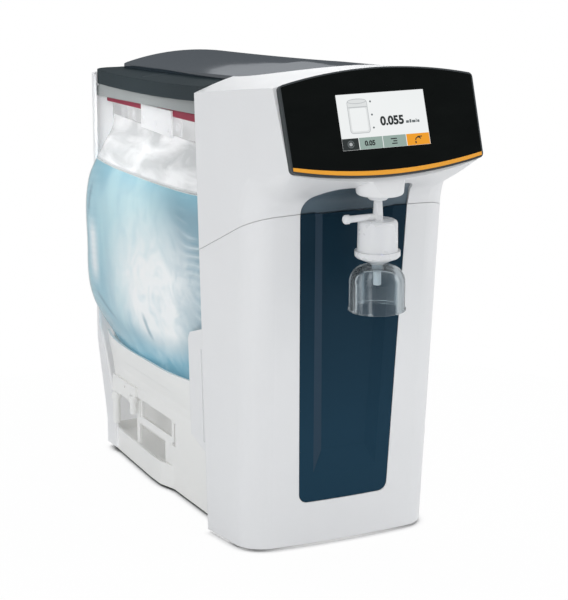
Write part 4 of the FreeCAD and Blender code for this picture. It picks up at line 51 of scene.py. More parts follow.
class Graph:
    """A material's node graph, with short ways to add what every surface here needs."""

    def __init__(self, name):
        self.material = bpy.data.materials.new(name)
        self.material.use_nodes = True
        self.tree = self.material.node_tree
        self.tree.nodes.clear()
        self.out = self.add("ShaderNodeOutputMaterial")
        self.coords = self.add("ShaderNodeTexCoord")

    def add(self, kind, **settings):
        node = self.tree.nodes.new(kind)
        for key, value in settings.items():
            setattr(node, key, value)
        return node

    def link(self, source, target):
        self.tree.links.new(source, target)

    def stretched(self, scale):
        mapping = self.add("ShaderNodeMapping")
        mapping.inputs["Scale"].default_value = scale
        self.link(self.coords.outputs["Object"], mapping.inputs["Vector"])
        return mapping.outputs["Vector"]

    def noise(self, scale, detail=3.0, roughness=0.5, stretch=None, distortion=0.0):
        node = self.add("ShaderNodeTexNoise")
        node.inputs["Scale"].default_value = scale
        node.inputs["Detail"].default_value = detail
        node.inputs["Roughness"].default_value = roughness
        node.inputs["Distortion"].default_value = distortion
        vector = self.coords.outputs["Object"] if stretch is None else self.stretched(stretch)
        self.link(vector, node.inputs["Vector"])
        return node.outputs["Fac"]

    def remap(self, value, low, high, to_low, to_high):
        node = self.add("ShaderNodeMapRange")
        node.inputs["From Min"].default_value = low
        node.inputs["From Max"].default_value = high
        node.inputs["To Min"].default_value = to_low
        node.inputs["To Max"].default_value = to_high
        self.link(value, node.inputs["Value"])
        return node.outputs["Result"]

    def spread(self, value, to_low=0.0, to_high=1.0):
        """The middle range of a noise, stretched from to_low to to_high."""
        return self.remap(value, 0.3, 0.7, to_low, to_high)

    def mix(self, factor, first, second):
        node = self.add("ShaderNodeMix", data_type="RGBA")
        colours = [socket for socket in node.inputs if socket.type == "RGBA"]
        for socket, colour in zip(colours, (first, second)):
            if isinstance(colour, tuple):
                socket.default_value = colour
            else:
                self.link(colour, socket)
        self.link(factor, node.inputs[0])
        return [socket for socket in node.outputs if socket.type == "RGBA"][0]

    def math(self, operation, first, second, clamp=False):
        node = self.add("ShaderNodeMath", operation=operation, use_clamp=clamp)
        for socket, value in zip(node.inputs, (first, second)):
            if isinstance(value, (int, float)):
                socket.default_value = value
            else:
                self.link(value, socket)
        return node.outputs["Value"]

    def blend(self, factor, first, second):
        """Two shaders in one, the second by the share that factor says."""
        node = self.add("ShaderNodeMixShader")
        if isinstance(factor, float):
            node.inputs["Fac"].default_value = factor
        else:
            self.link(factor, node.inputs["Fac"])
        self.link(first, node.inputs[1])
        self.link(second, node.inputs[2])
        return node.outputs["Shader"]

    def openness(self, distance, samples=6):
        """How open a point is within a distance in metres: 0 in a corner, 1 on a bare face."""
        node = self.add("ShaderNodeAmbientOcclusion", samples=samples)
        node.inputs["Distance"].default_value = distance
        return node.outputs["AO"]

    def places(self):
        """The x, y and z of a point on the piece, in metres."""
        split = self.add("ShaderNodeSeparateXYZ")
        self.link(self.coords.outputs["Object"], split.inputs["Vector"])
        return split.outputs["X"], split.outputs["Y"], split.outputs["Z"]

    def bump(self, height, strength, distance, base=None):
        node = self.add("ShaderNodeBump")
        node.inputs["Strength"].default_value = strength
        node.inputs["Distance"].default_value = distance
        self.link(height, node.inputs["Height"])
        if base is not None:
            self.link(base, node.inputs["Normal"])
        return node.outputs["Normal"]

    def soft_edges(self, radius):
        node = self.add("ShaderNodeBevel", samples=4)
        node.inputs["Radius"].default_value = radius
        return node.outputs["Normal"]

    def principled(self, **values):
        shader = self.add("ShaderNodeBsdfPrincipled")
        for key, value in values.items():
            shader.inputs[key.replace("_", " ")].default_value = value
        self.link(shader.outputs["BSDF"], self.out.inputs["Surface"])
        return shader


def shade(colour, factor):
    """A colour made lighter or darker by a factor, with full alpha."""
    return tuple(min(1.0, channel * factor) for channel in colour) + (1.0,)


def painted_bounce_glow(graph, shader, tint, share):
    """Painted light: a glow for light thrown back and forth in the white bay, more where enclosed.
    """
    graph.link(tint, shader.inputs["Emission Color"])
    graph.link(graph.remap(graph.openness(0.10), 0.10, 0.70, share, 0.0),
               shader.inputs["Emission Strength"])


def moulded(name, colour, rough, grain=2200.0, depth=0.02, vary=0.03, edge=0.0005, coat=0.0,
            coat_rough=0.1, subsurface=0.0, specular=0.5, bounce=0.0, painted_foot_light=1.0,
            painted_slope_light=None, painted_contact_shade=1.0):
    """Moulded plastic: fine grain, faint flow clouds in colour and gloss, softened edges.

    The last four arguments paint light and shade: bounce adds a glow of painted light where
    enclosed, and the next three give painted light to the foot of a tall panel, a lighter
    painted tint to its slopes that face +x, and painted shade to what lies close to a neighbour.
    """
    graph = Graph(name)
    clouds = graph.noise(14.0, detail=4.0)
    dust = graph.noise(160.0, detail=5.0, roughness=0.65)
    tint = graph.mix(graph.spread(clouds), shade(colour, 1.0 - vary), shade(colour, 1.0 + vary))
    tint = graph.mix(graph.remap(dust, 0.55, 0.85, 0.0, 0.35), tint,
                     shade(colour, 1.0 - 2.0 * vary))
    # Painted light: lighter towards the foot, from 31 cm down to 12 cm.
    if painted_foot_light != 1.0:
        low = graph.remap(graph.places()[2], 0.31, 0.12, 0.0, 1.0)
        tint = graph.mix(low, tint, shade(colour, painted_foot_light))
    # Painted light: slopes that face +x take a lighter tint.
    if painted_slope_light is not None:
        facing = graph.add("ShaderNodeSeparateXYZ")
        graph.link(graph.add("ShaderNodeNewGeometry").outputs["Normal"], facing.inputs["Vector"])
        tint = graph.mix(graph.remap(facing.outputs["X"], 0.10, 0.40, 0.0, 1.0), tint, painted_slope_light)
    # Painted shade: darker where a neighbour lies within 6 cm.
    if painted_contact_shade != 1.0:
        tint = graph.mix(graph.remap(graph.openness(0.06), 0.80, 0.40, 0.0, 1.0), tint,
                         shade(colour, painted_contact_shade))
    shader = graph.principled(Coat_Weight=coat, Coat_Roughness=coat_rough,
                              Subsurface_Weight=subsurface, Specular_IOR_Level=specular)
    shader.inputs["Subsurface Radius"].default_value = (0.004, 0.004, 0.0045)
    shader.inputs["Subsurface Scale"].default_value = 1.0
    graph.link(tint, shader.inputs["Base Color"])
    # Painted light: a glow on the piece's enclosed faces.
    if bounce > 0.0:
        painted_bounce_glow(graph, shader, tint, bounce)
    gloss = graph.spread(graph.noise(30.0, detail=5.0, roughness=0.6), rough - 0.03, rough + 0.05)
    graph.link(gloss, shader.inputs["Roughness"])
    edges = graph.soft_edges(edge)
    normal = graph.bump(graph.noise(grain, detail=2.0), depth, 0.00012, edges)
    graph.link(normal, shader.inputs["Normal"])
    return graph.material


def lacquer(name, colour, shine, rough, vary=0.03, grain=0.004):
    """Dark painted plastic: a body colour under an even shine of a set share."""
    graph = Graph(name)
    clouds = graph.noise(12.0, detail=4.0)
    tint = graph.mix(graph.spread(clouds), shade(colour, 1.0 - vary), shade(colour, 1.0 + vary))
    shader = graph.add("ShaderNodeBsdfPrincipled")
    shader.inputs["Specular IOR Level"].default_value = 0.0
    shader.inputs["Roughness"].default_value = 0.5
    graph.link(tint, shader.inputs["Base Color"])
    gloss = graph.add("ShaderNodeBsdfGlossy")
    gloss.inputs["Color"].default_value = (0.93, 0.96, 1.0, 1.0)
    graph.link(graph.spread(clouds, rough, rough * 1.3), gloss.inputs["Roughness"])
    normal = graph.bump(graph.noise(900.0, detail=2.0), grain, 0.0001, graph.soft_edges(0.0012))
    graph.link(normal, shader.inputs["Normal"])
    graph.link(normal, gloss.inputs["Normal"])
    both = graph.blend(shine, shader.outputs["BSDF"], gloss.outputs["BSDF"])
    graph.link(both, graph.out.inputs["Surface"])
    return graph.material


def brushed(name, colour, rough=0.32, stretch=(1.0, 1.0, 60.0)):
    """Brushed or plated metal with fine directional lines."""
    graph = Graph(name)
    lines = graph.noise(60.0, detail=6.0, roughness=0.7, stretch=stretch)
    tint = graph.mix(graph.spread(lines), shade(colour, 0.88), shade(colour, 1.06))
    shader = graph.principled(Metallic=1.0)
    graph.link(tint, shader.inputs["Base Color"])
    graph.link(graph.spread(lines, rough - 0.07, rough + 0.09), shader.inputs["Roughness"])
    graph.link(graph.bump(lines, 0.12, 0.00005, graph.soft_edges(0.0003)), shader.inputs["Normal"])
    return graph.material


def polished_black(name):
    """The display's cover lens: deep gloss black with a faint smear in its shine."""
    graph = Graph(name)
    smears = graph.noise(22.0, detail=5.0, roughness=0.6, stretch=(1.0, 1.0, 2.5))
    tint = graph.mix(graph.remap(smears, 0.3, 0.75, 0.0, 1.0), (0.0022, 0.0032, 0.0030, 1.0),
                     (0.0036, 0.0048, 0.0044, 1.0))
    shader = graph.principled(Specular_IOR_Level=0.07)
    graph.link(tint, shader.inputs["Base Color"])
    graph.link(graph.spread(smears, 0.10, 0.17), shader.inputs["Roughness"])
    graph.link(graph.bump(graph.noise(900.0), 0.01, 0.00004), shader.inputs["Normal"])
    return graph.material


def milky(name, colour, clear=0.35, rough=0.28):
    """Natural polypropylene: cloudy, lets some light through."""
    graph = Graph(name)
    clouds = graph.noise(40.0, detail=3.0)
    tint = graph.mix(graph.spread(clouds), shade(colour, 0.985), shade(colour, 1.0))
    shader = graph.principled(Transmission_Weight=clear, IOR=1.49, Subsurface_Weight=0.3)
    shader.inputs["Subsurface Radius"].default_value = (0.006, 0.006, 0.007)
    graph.link(tint, shader.inputs["Base Color"])
    graph.link(graph.spread(clouds, rough - 0.05, rough + 0.07), shader.inputs["Roughness"])
    normal = graph.bump(graph.noise(1500.0), 0.03, 0.0001, graph.soft_edges(0.0004))
    graph.link(normal, shader.inputs["Normal"])
    return graph.material


def crease_lines(graph):
    """Fine creases of the film, fanning from its ends: painted highlights along some, painted
    shade along others, and their relief.
    """
    _, y, z = graph.places()
    bend = graph.noise(9.0, detail=2.0, stretch=(1.0, 1.0, 1.0))
    fan = graph.math("MULTIPLY", graph.math("SUBTRACT", y, 0.02), graph.math("SUBTRACT", z, 0.27))
    height = graph.math("ADD", z, graph.math("MULTIPLY", fan, 2.4))
    height = graph.math("ADD", height, graph.math("MULTIPLY", bend, 0.05))
    lines = graph.add("ShaderNodeTexWave", wave_type="BANDS", bands_direction="Z")
    lines.inputs["Scale"].default_value = 30.0
    lines.inputs["Distortion"].default_value = 2.2
    lines.inputs["Detail"].default_value = 2.0
    lines.inputs["Detail Scale"].default_value = 0.6
    place = graph.add("ShaderNodeCombineXYZ")
    graph.link(graph.math("MULTIPLY", y, 0.25), place.inputs["Y"])
    graph.link(height, place.inputs["Z"])
    graph.link(place.outputs["Vector"], lines.inputs["Vector"])
    front = graph.remap(y, -0.075, -0.02, 1.0, 0.0)
    rear = graph.remap(y, 0.15, 0.21, 0.0, 0.22)
    patch = graph.remap(graph.noise(22.0, detail=2.0, stretch=(1.0, 0.6, 1.0)), 0.42, 0.62,
                        0.0, 1.0)
    ends = graph.math("MULTIPLY", graph.math("ADD", front, rear, clamp=True), patch)
    light = graph.math("MULTIPLY", ends, graph.remap(lines.outputs["Fac"], 0.74, 0.98, 0.0, 1.0))
    dark = graph.math("MULTIPLY", ends, graph.remap(lines.outputs["Fac"], 0.34, 0.02, 0.0, 1.0))
    return light, dark, graph.math("MULTIPLY", ends, lines.outputs["Fac"])


def leaning_axes(graph, y, z, lean):
    """Distances from a place on the bag's side: sideways off a leaning line, and up."""
    _, across, along = graph.places()
    rise = graph.math("SUBTRACT", along, z)
    away = graph.math("SUBTRACT", graph.math("SUBTRACT", across, y),
                      graph.math("MULTIPLY", rise, lean))
    return away, rise


def stroke(graph, y, z, lean, half_wide, half_long):
    """A single soft, steep stroke along a fold, centred on y and z (metres), for painted highlight
    or shade.
    """
    away, rise = leaning_axes(graph, y, z, lean)
    near = graph.remap(graph.math("ABSOLUTE", away, 0.0), 0.15 * half_wide, half_wide, 1.0, 0.0)
    within = graph.remap(graph.math("ABSOLUTE", rise, 0.0), 0.45 * half_long, half_long, 1.0, 0.0)
    return graph.math("MULTIPLY", near, within)


def clear_wall(name, tint_low, tint_high, body, shine_rough=0.05, cloudy_above=None,
               veil=(0.10, 0.62), glint=0.9, glints=0.0, glow=0.0):
    """A thin clear wall: see-through with a little body colour and a sharp reflection.

    veil is the share of body colour seen straight on and at the rim, glint the strongest
    reflection, glints the share of upright bright bars of painted reflection, glow a painted
    glow of the body colour that lightens the wall, and above cloudy_above (metres) the
    """
    graph = Graph(name)
    waves = graph.noise(18.0, detail=3.0, roughness=0.5)
    tint = graph.mix(graph.spread(waves), tint_low, tint_high)
    through = graph.add("ShaderNodeBsdfTransparent")
    graph.link(tint, through.inputs["Color"])
    haze = graph.add("ShaderNodeBsdfPrincipled")
    haze.inputs["Base Color"].default_value = body
    haze.inputs["Roughness"].default_value = 0.25
    # Painted light: the haze gives off its body colour as a glow.
    haze.inputs["Emission Color"].default_value = body
    haze.inputs["Emission Strength"].default_value = glow
    shine = graph.add("ShaderNodeBsdfGlossy")
    shine.inputs["Roughness"].default_value = shine_rough
    rim = graph.add("ShaderNodeLayerWeight")
    rim.inputs["Blend"].default_value = 0.22
    normal = graph.bump(waves, 0.15, 0.0004)
    if cloudy_above is not None:
        normal = graph.bump(crease_lines(graph)[2], 0.7, 0.0016, normal)
    graph.link(normal, rim.inputs["Normal"])
    graph.link(normal, shine.inputs["Normal"])
    haziness = graph.remap(rim.outputs["Facing"], 0.0, 1.0, veil[0], veil[1])
    # Painted reflections: upright bright bars that add body colour.
    if glints > 0.0:
        bars = graph.noise(75.0, detail=1.0, stretch=(1.0, 1.0, 0.06))
        haziness = graph.math("ADD", haziness, graph.remap(bars, 0.52, 0.66, 0.0, glints),
                              clamp=True)
    if cloudy_above is not None:
        dry = graph.remap(graph.places()[2], cloudy_above, cloudy_above + 0.004, 0.0, 0.66)
        folds = graph.noise(34.0, detail=4.0, stretch=(1.0, 0.5, 1.4), distortion=0.5)
        dry_folds = graph.math("MULTIPLY", dry, graph.remap(folds, 0.35, 0.65, 0.55, 1.3))
        haziness = graph.math("ADD", haziness, dry_folds, clamp=True)
    wall = graph.blend(haziness, through.outputs["BSDF"], haze.outputs["BSDF"])
    wall = graph.blend(graph.remap(rim.outputs["Fresnel"], 0.04, 1.0, 0.015, glint), wall,
                       shine.outputs["BSDF"])
    graph.link(wall, graph.out.inputs["Surface"])
    return graph.material


def lit(name, colour, vary=0.02):
    """A lit part of the screen, with a faint pixel grid and a faint cloudiness in its tint."""
    graph = Graph(name)
    grid = graph.add("ShaderNodeTexWave", wave_type="BANDS", bands_direction="X")
    grid.inputs["Scale"].default_value = 900.0
    graph.link(graph.coords.outputs["Object"], grid.inputs["Vector"])
    clouds = graph.noise(9.0, detail=2.0)
    tint = graph.mix(graph.spread(clouds), shade(colour, 1.0 - vary), shade(colour, 1.0 + vary))
    glow = graph.add("ShaderNodeEmission")
    graph.link(tint, glow.inputs["Color"])
    graph.link(graph.remap(grid.outputs["Fac"], 0.0, 1.0, 0.985, 1.0), glow.inputs["Strength"])
    face = graph.add("ShaderNodeBsdfGlossy")
    face.inputs["Roughness"].default_value = 0.12
    both = graph.blend(0.03, glow.outputs["Emission"], face.outputs["BSDF"])
    graph.link(both, graph.out.inputs["Surface"])
    return graph.material


def highlight_patch(graph, y, z, half_y, half_z, lean=0.0):
    """A soft oval patch of painted highlight on the bag's side, 1 at its heart, centred on y and z
    (metres).
    """
    away, rise = leaning_axes(graph, y, z, lean)
    away = graph.math("DIVIDE", away, half_y)
    rise = graph.math("DIVIDE", rise, half_z)
    total = graph.math("ADD", graph.math("MULTIPLY", away, away),
                       graph.math("MULTIPLY", rise, rise))
    return graph.remap(graph.math("SQRT", total, 0.0), 0.25, 1.25, 1.0, 0.0)


# Painted shade in the film's folds: y, z, lean, half width, half length
FOLD_SHADES = (
    (0.054, 0.196, 0.22, 0.0045, 0.017),
    (0.150, 0.200, 1.9, 0.010, 0.014),
    (0.192, 0.315, -0.2, 0.006, 0.022),
    (-0.082, 0.330, 0.1, 0.006, 0.020),
)


def water_body(name):
    """The water behind the film: a pale heart and a streak of painted highlight, deeper edges,
    folds and creases that fan out from the ends with painted shade and highlight, painted shade
    under the bag, and a painted glow.
    """
    graph = Graph(name)
    _, y, z = graph.places()
    broad = graph.noise(13.0, detail=3.0, stretch=(1.0, 0.9, 0.5), distortion=0.8)
    veins = graph.noise(42.0, detail=4.0, roughness=0.6, stretch=(1.0, 0.9, 0.7), distortion=1.4)
    side = graph.remap(y, 0.060, -0.030, 0.0, 0.85)
    tint = graph.mix(graph.remap(broad, 0.38, 0.62, 0.0, 1.0), (0.47, 0.72, 0.79, 1.0),
                     (0.30, 0.55, 0.66, 1.0))
    tint = graph.mix(side, tint, (0.25, 0.40, 0.48, 1.0))
    # Painted highlights: a pale patch up high, a white heart and a tail below it.
    pale = highlight_patch(graph, 0.070, 0.315, 0.080, 0.075)
    heart = highlight_patch(graph, 0.036, 0.252, 0.098, 0.068, -0.25)
    tail = highlight_patch(graph, 0.030, 0.194, 0.046, 0.052)
    ragged = graph.remap(veins, 0.30, 0.60, 0.72, 1.15)
    pale = graph.math("MULTIPLY", pale, graph.math("MULTIPLY", ragged, 0.75), clamp=True)
    tint = graph.mix(pale, tint, (0.70, 0.89, 0.92, 1.0))
    bright = graph.math("ADD", heart, graph.math("MULTIPLY", tail, 0.85), clamp=True)
    tint = graph.mix(graph.math("MULTIPLY", bright, ragged, clamp=True), tint,
                     (0.99, 1.0, 1.0, 1.0))
    # Painted shade on the bag's underside, near its foot.
    underside_shade = graph.remap(z, 0.196, 0.160, 0.0, 1.0)
    tint = graph.mix(graph.math("MULTIPLY", underside_shade, graph.remap(veins, 0.36, 0.58, 0.45, 0.95)),
                     tint, (0.22, 0.48, 0.60, 1.0))
    crest = graph.remap(z, 0.335, 0.357, 0.0, 1.0)
    tint = graph.mix(graph.math("MULTIPLY", crest, graph.remap(broad, 0.40, 0.58, 0.25, 0.8)),
                     tint, (0.30, 0.59, 0.70, 1.0))
    # Painted highlight: a white streak on the bag's side.
    streak_highlight = stroke(graph, 0.180, 0.258, 0.12, 0.018, 0.042)
    tint = graph.mix(graph.math("MULTIPLY", streak_highlight, 0.85), tint, (0.95, 0.98, 0.99, 1.0))
    # Painted shade along the folds.
    for fold in FOLD_SHADES:
        tint = graph.mix(graph.math("MULTIPLY", stroke(graph, *fold), 0.6), tint,
                         (0.13, 0.30, 0.40, 1.0))
    # Painted shade along some creases and painted highlights along others.
    light, dark, relief = crease_lines(graph)
    tint = graph.mix(graph.math("MULTIPLY", dark, 0.75), tint, (0.12, 0.31, 0.42, 1.0))
    tint = graph.mix(graph.math("MULTIPLY", light, 0.95), tint, (0.90, 0.96, 0.97, 1.0))
    rim = graph.add("ShaderNodeLayerWeight")
    rim.inputs["Blend"].default_value = 0.35
    tint = graph.mix(graph.remap(rim.outputs["Facing"], 0.62, 0.97, 0.0, 0.85), tint,
                     (0.12, 0.33, 0.43, 1.0))
    shader = graph.principled(Coat_Weight=0.15, Coat_Roughness=0.12, Subsurface_Weight=0.1,
                              Specular_IOR_Level=0.3)
    shader.inputs["Subsurface Radius"].default_value = (0.004, 0.006, 0.007)
    shader.inputs["Subsurface Scale"].default_value = 1.0
    graph.link(tint, shader.inputs["Base Color"])
    # Painted glow: the water gives off its own tint, faintly everywhere and more at the bag's
    # foot.
    graph.link(tint, shader.inputs["Emission Color"])
    graph.link(graph.remap(z, 0.180, 0.150, 0.07, 0.24), shader.inputs["Emission Strength"])
    graph.link(graph.spread(broad, 0.28, 0.42), shader.inputs["Roughness"])
    normal = graph.bump(broad, 0.30, 0.003)
    normal = graph.bump(relief, 0.8, 0.003, normal)
    graph.link(normal, shader.inputs["Normal"])
    return graph.material


WHITE = (0.80, 0.805, 0.815)
MATERIALS = {
    "white_housing": moulded("white_housing", WHITE, 0.36, depth=0.03, vary=0.008, subsurface=0.05,
                             coat=0.12, coat_rough=0.25),
    # Whites of the bay: a lighter copy of the housing white as painted light, and the rear
    # housing's white; both carry a painted glow on enclosed faces.
    "inner_white": moulded("inner_white", (0.88, 0.88, 0.865), 0.45, depth=0.03, vary=0.012,
                           subsurface=0.05, bounce=0.06, edge=0.0001),
    "rear_white": moulded("rear_white", WHITE, 0.38, depth=0.03, vary=0.008, subsurface=0.05,
                          bounce=0.26),
    "slate_lid": lacquer("slate_lid", (0.020, 0.030, 0.034), 0.045, 0.22),
    "lid_gloss": lacquer("lid_gloss", (0.022, 0.031, 0.040), 0.16, 0.045),
    # Navy panel: painted light on its foot and on its slopes that face +x.
    "navy_panel": moulded("navy_panel", (0.0070, 0.0245, 0.042), 0.32, depth=0.012, vary=0.03,
                          specular=0.06, painted_foot_light=1.75, painted_slope_light=(0.024, 0.050, 0.080, 1.0)),
    # Navy hood: painted shade close to its neighbours.
    "navy_hood": moulded("navy_hood", (0.100, 0.142, 0.176), 0.34, depth=0.012, vary=0.03,
                         specular=0.2, painted_contact_shade=0.25),
    "grey_bezel": moulded("grey_bezel", (0.036, 0.043, 0.046), 0.45, vary=0.04, specular=0.3),
    "rail_grey": moulded("rail_grey", (0.30, 0.32, 0.32), 0.5, vary=0.03),
    "orange_accent": moulded("orange_accent", (0.86, 0.36, 0.015), 0.35, vary=0.03),
    "red_bar": moulded("red_bar", (0.30, 0.018, 0.050), 0.42, vary=0.06, specular=0.25),
    "black_plastic": moulded("black_plastic", (0.012, 0.013, 0.014), 0.45, vary=0.08),
    "foot_rubber": moulded("foot_rubber", (0.02, 0.02, 0.021), 0.75, grain=900.0, depth=0.1,
                           vary=0.1),
    "grey_fittings": moulded("grey_fittings", (0.27, 0.30, 0.315), 0.45, vary=0.04),
    "cartridge_white": moulded("cartridge_white", (0.70, 0.73, 0.75), 0.3, vary=0.02),
    "green_board": moulded("green_board", (0.014, 0.10, 0.045), 0.35, grain=400.0, depth=0.2,
                           vary=0.2),
    "blue_tube": moulded("blue_tube", (0.11, 0.27, 0.48), 0.3, vary=0.05, subsurface=0.2),
    "black_glass": polished_black("black_glass"),
    "steel": brushed("steel", (0.60, 0.61, 0.62)),
    "milky_plastic": milky("milky_plastic", (0.785, 0.795, 0.81), clear=0.05),
    # The bell's glints are painted reflections.
    "clear_bell": clear_wall("clear_bell", (0.86, 0.91, 0.93, 1.0), (0.93, 0.96, 0.97, 1.0),
                             (0.66, 0.73, 0.77, 1.0), veil=(0.02, 0.31), glints=0.50),
    "screen_face": lit("screen_face", (0.88, 0.90, 0.90)),
    "screen_dark": lit("screen_dark", (0.022, 0.028, 0.028), vary=0.1),
    "screen_grey": lit("screen_grey", (0.13, 0.15, 0.155)),
    "screen_mid": lit("screen_mid", (0.42, 0.44, 0.45)),
    "screen_soft": lit("screen_soft", (0.53, 0.55, 0.56)),
    "screen_light": lit("screen_light", (0.74, 0.76, 0.76)),
    "screen_sage": lit("screen_sage", (0.31, 0.41, 0.37)),
    "screen_orange": lit("screen_orange", (0.88, 0.35, 0.02)),
    # The film's glow is painted light, strongest on its cloudy dry part.
    "film": clear_wall("film", (0.95, 0.965, 0.97, 1.0), (0.985, 0.99, 0.99, 1.0),
                       (0.96, 0.965, 0.97, 1.0), shine_rough=0.12, cloudy_above=0.358,
                       veil=(0.02, 0.10), glint=0.55, glow=0.10),
    # The hem's glow is painted light that whitens it in the shade under the rails.
    "hem_film": clear_wall("hem_film", (0.95, 0.965, 0.97, 1.0), (0.985, 0.99, 0.99, 1.0),
                           (0.97, 0.972, 0.975, 1.0), shine_rough=0.15, veil=(0.82, 0.9),
                           glow=0.62),
    "water_top": moulded("water_top", (0.86, 0.89, 0.90), 0.25, grain=60.0, depth=0.1, vary=0.02),
    "water": water_body("water"),
}

# Pieces whose finish differs from that of the others in their slot
OWN_FINISH = {
    "lid_panel": "lid_gloss",
    "outlet_hood": "navy_hood",
    "top_frame": "rail_grey",
    "rear_housing": "rear_white",
}
for bay_piece in ("partition_wall", "lower_bulkhead", "bag_cradle", "bar_hooks", "drain_bracket",
                  "rear_drain_spigot", "front_drain_spigot", "base_tray"):
    OWN_FINISH[bay_piece] = "inner_white"

for part in frame["record"]["subparts"]:
    node = NODES[part["node"]]
    wanted = OWN_FINISH.get(part["node"], part["material_slot"])
    material = MATERIALS.get(wanted, MATERIALS["white_housing"])
    if not node.material_slots:
        node.data.materials.append(material)
    for place in node.material_slots:
        place.material = material


# ---------------------------------------------------------------------------
# Mesh helpers
# ---------------------------------------------------------------------------

def mesh_piece(name, vertices, faces, material, body, smooth=True):
    """A mesh object from points in millimetres, riding on a body of the part."""
    mesh = bpy.data.meshes.new(name)
    mesh.from_pydata([Vector(v) * MM for v in vertices], [], faces)
    mesh.update()
    piece = bpy.data.objects.new(name, mesh)
    bpy.context.scene.collection.objects.link(piece)
    mesh.materials.append(MATERIALS[material])
    for polygon in mesh.polygons:
        polygon.use_smooth = smooth
    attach(piece, body)
    return piece


def closed_rings(rings):
    """Quads between closed rings of equally many points, with fans at both ends."""
    count = len(rings[0])
    vertices = [point for ring in rings for point in ring]
    faces = []
    for row in range(len(rings) - 1):
        for column in range(count):
            following = (column + 1) % count
            a = row * count + column
            b = row * count + following
            faces.append((a, b, b + count, a + count))
    for row, flip in ((0, True), (len(rings) - 1, False)):
        ring = rings[row]
        centre = sum((Vector(point) for point in ring), Vector()) / count
        vertices.append(tuple(centre))
        middle = len(vertices) - 1
        for column in range(count):
            a = row * count + column
            b = row * count + (column + 1) % count
            faces.append((b, a, middle) if flip else (a, b, middle))
    return vertices, faces


def smoothstep(low, high, value):
    """0 at low and 1 at high, with a soft start and end."""
    share = max(0.0, min(1.0, (value - low) / (high - low)))
    return share * share * (3.0 - 2.0 * share)


def spline(points, value):
    """Height at value of a smooth curve through (place, height) points."""
    last = len(points) - 1
    if value <= points[0][0]:
        return points[0][1]
    if value >= points[last][0]:
        return points[last][1]
    index = max(i for i in range(last) if points[i][0] <= value)
    x0, y0 = points[index]
    x1, y1 = points[index + 1]
    before = points[max(index - 1, 0)]
    after = points[min(index + 2, last)]
    slope0 = (y1 - before[1]) / (x1 - before[0]) if x1 != before[0] else 0.0
    slope1 = (after[1] - y0) / (after[0] - x0) if after[0] != x0 else 0.0
    span = x1 - x0
    share = (value - x0) / span
    cubed, squared = share ** 3, share ** 2
    return ((2 * cubed - 3 * squared + 1) * y0 + (cubed - 2 * squared + share) * span * slope0
            + (-2 * cubed + 3 * squared) * y1 + (cubed - squared) * span * slope1)


# ---------------------------------------------------------------------------
# Water bag: the film from cradle to bars, and the water in it
# ---------------------------------------------------------------------------

WATER_LEVEL = 358.0
WATER_INSET = 0.7
SURFACE_INSET = 1.0
BAG_FOOT = 125.0
BAG_TOP = 404.0
BAG_STEP = 4.0
FILM_REACH = -140.6
HEM_FRONT = -58.0
HEM_REAR = 223.0
HEM_FOOT = 398.0
HEM_X = -96.5
BAR_REAR = 229.0
BAR_REAR_TOP = 426.3
BAR_LONG = 291.0
BAR_RISE = 11.4
# height: outer and inner reach, front and rear ends, heel and nose shares
BAG_LEVELS = [
    (125.0, 101.5, 66.0, -24.0, 196.0, 0.10, 0.35),
    (136.0, 109.8, 64.0, -50.0, 210.0, 0.12, 0.40),
    (152.0, 117.2, 63.0, -66.0, 218.0, 0.10, 0.42),
    (200.0, 136.6, 63.0, -76.0, 225.5, 0.01, 0.42),
    (265.0, 138.8, 63.0, -84.0, 227.0, -0.03, 0.26),
    (335.0, 136.2, 65.0, -84.0, 226.0, -0.02, 0.18),
    (372.0, 122.8, 72.0, -76.0, 223.0, 0.04, 0.16),
    (388.0, 107.5, 82.0, -66.0, 224.0, 0.04, 0.16),
    (397.0, 99.8, 90.0, -62.0, 225.0, 0.04, 0.16),
    (405.0, 97.6, 95.2, -60.0, 225.0, 0.04, 0.16),
]


def bag_plan(heel, nose):
    """The bag's plan at one level, as shares along (from the rear) and across (from outside)."""
    return [(0.0, 0.5), (0.03, 0.18 + heel), (0.12, heel), (0.45, 0.0), (0.85, nose),
            (1.0, 0.5 + 0.5 * nose), (0.85, 0.95), (0.5, 1.0), (0.2, 1.0), (0.04, 0.88)]


def ring_point(plan, turn):
    """A point of the bag's plan, as shares along and across, by a closed smooth curve."""
    count = len(plan)
    place = turn * count
    index = int(math.floor(place)) % count
    share = place - math.floor(place)
    a, b, c, e = [plan[(index + step) % count] for step in (-1, 0, 1, 2)]
    out = []
    for axis in (0, 1):
        p0, p1, p2, p3 = a[axis], b[axis], c[axis], e[axis]
        out.append(0.5 * (2 * p1 + (p2 - p0) * share + (2 * p0 - 5 * p1 + 4 * p2 - p3) * share ** 2
                          + (3 * p1 - p0 - 3 * p2 + p3) * share ** 3))
    return out


def wrinkle(y, z, outward):
    """How far the film puckers at a place on its outer side, in millimetres."""
    near_front = smoothstep(30.0, -60.0, y)
    near_rear = smoothstep(150.0, 218.0, y)
    low = smoothstep(210.0, 130.0, z)
    across = noise.noise(Vector((y * 0.010, z * 0.085, 3.1)))
    fan = noise.noise(Vector((y * 0.030 + z * 0.012, z * 0.055 - y * 0.02, 7.7)))
    upright = noise.noise(Vector((y * 0.075, z * 0.016, 1.3)))
    broad = noise.noise(Vector((y * 0.014, z * 0.012, 9.2)))
    amount = 0.9 * near_front * across + 0.8 * near_rear * upright + 0.8 * low * fan + 1.2 * broad
    return 1.15 * amount * outward


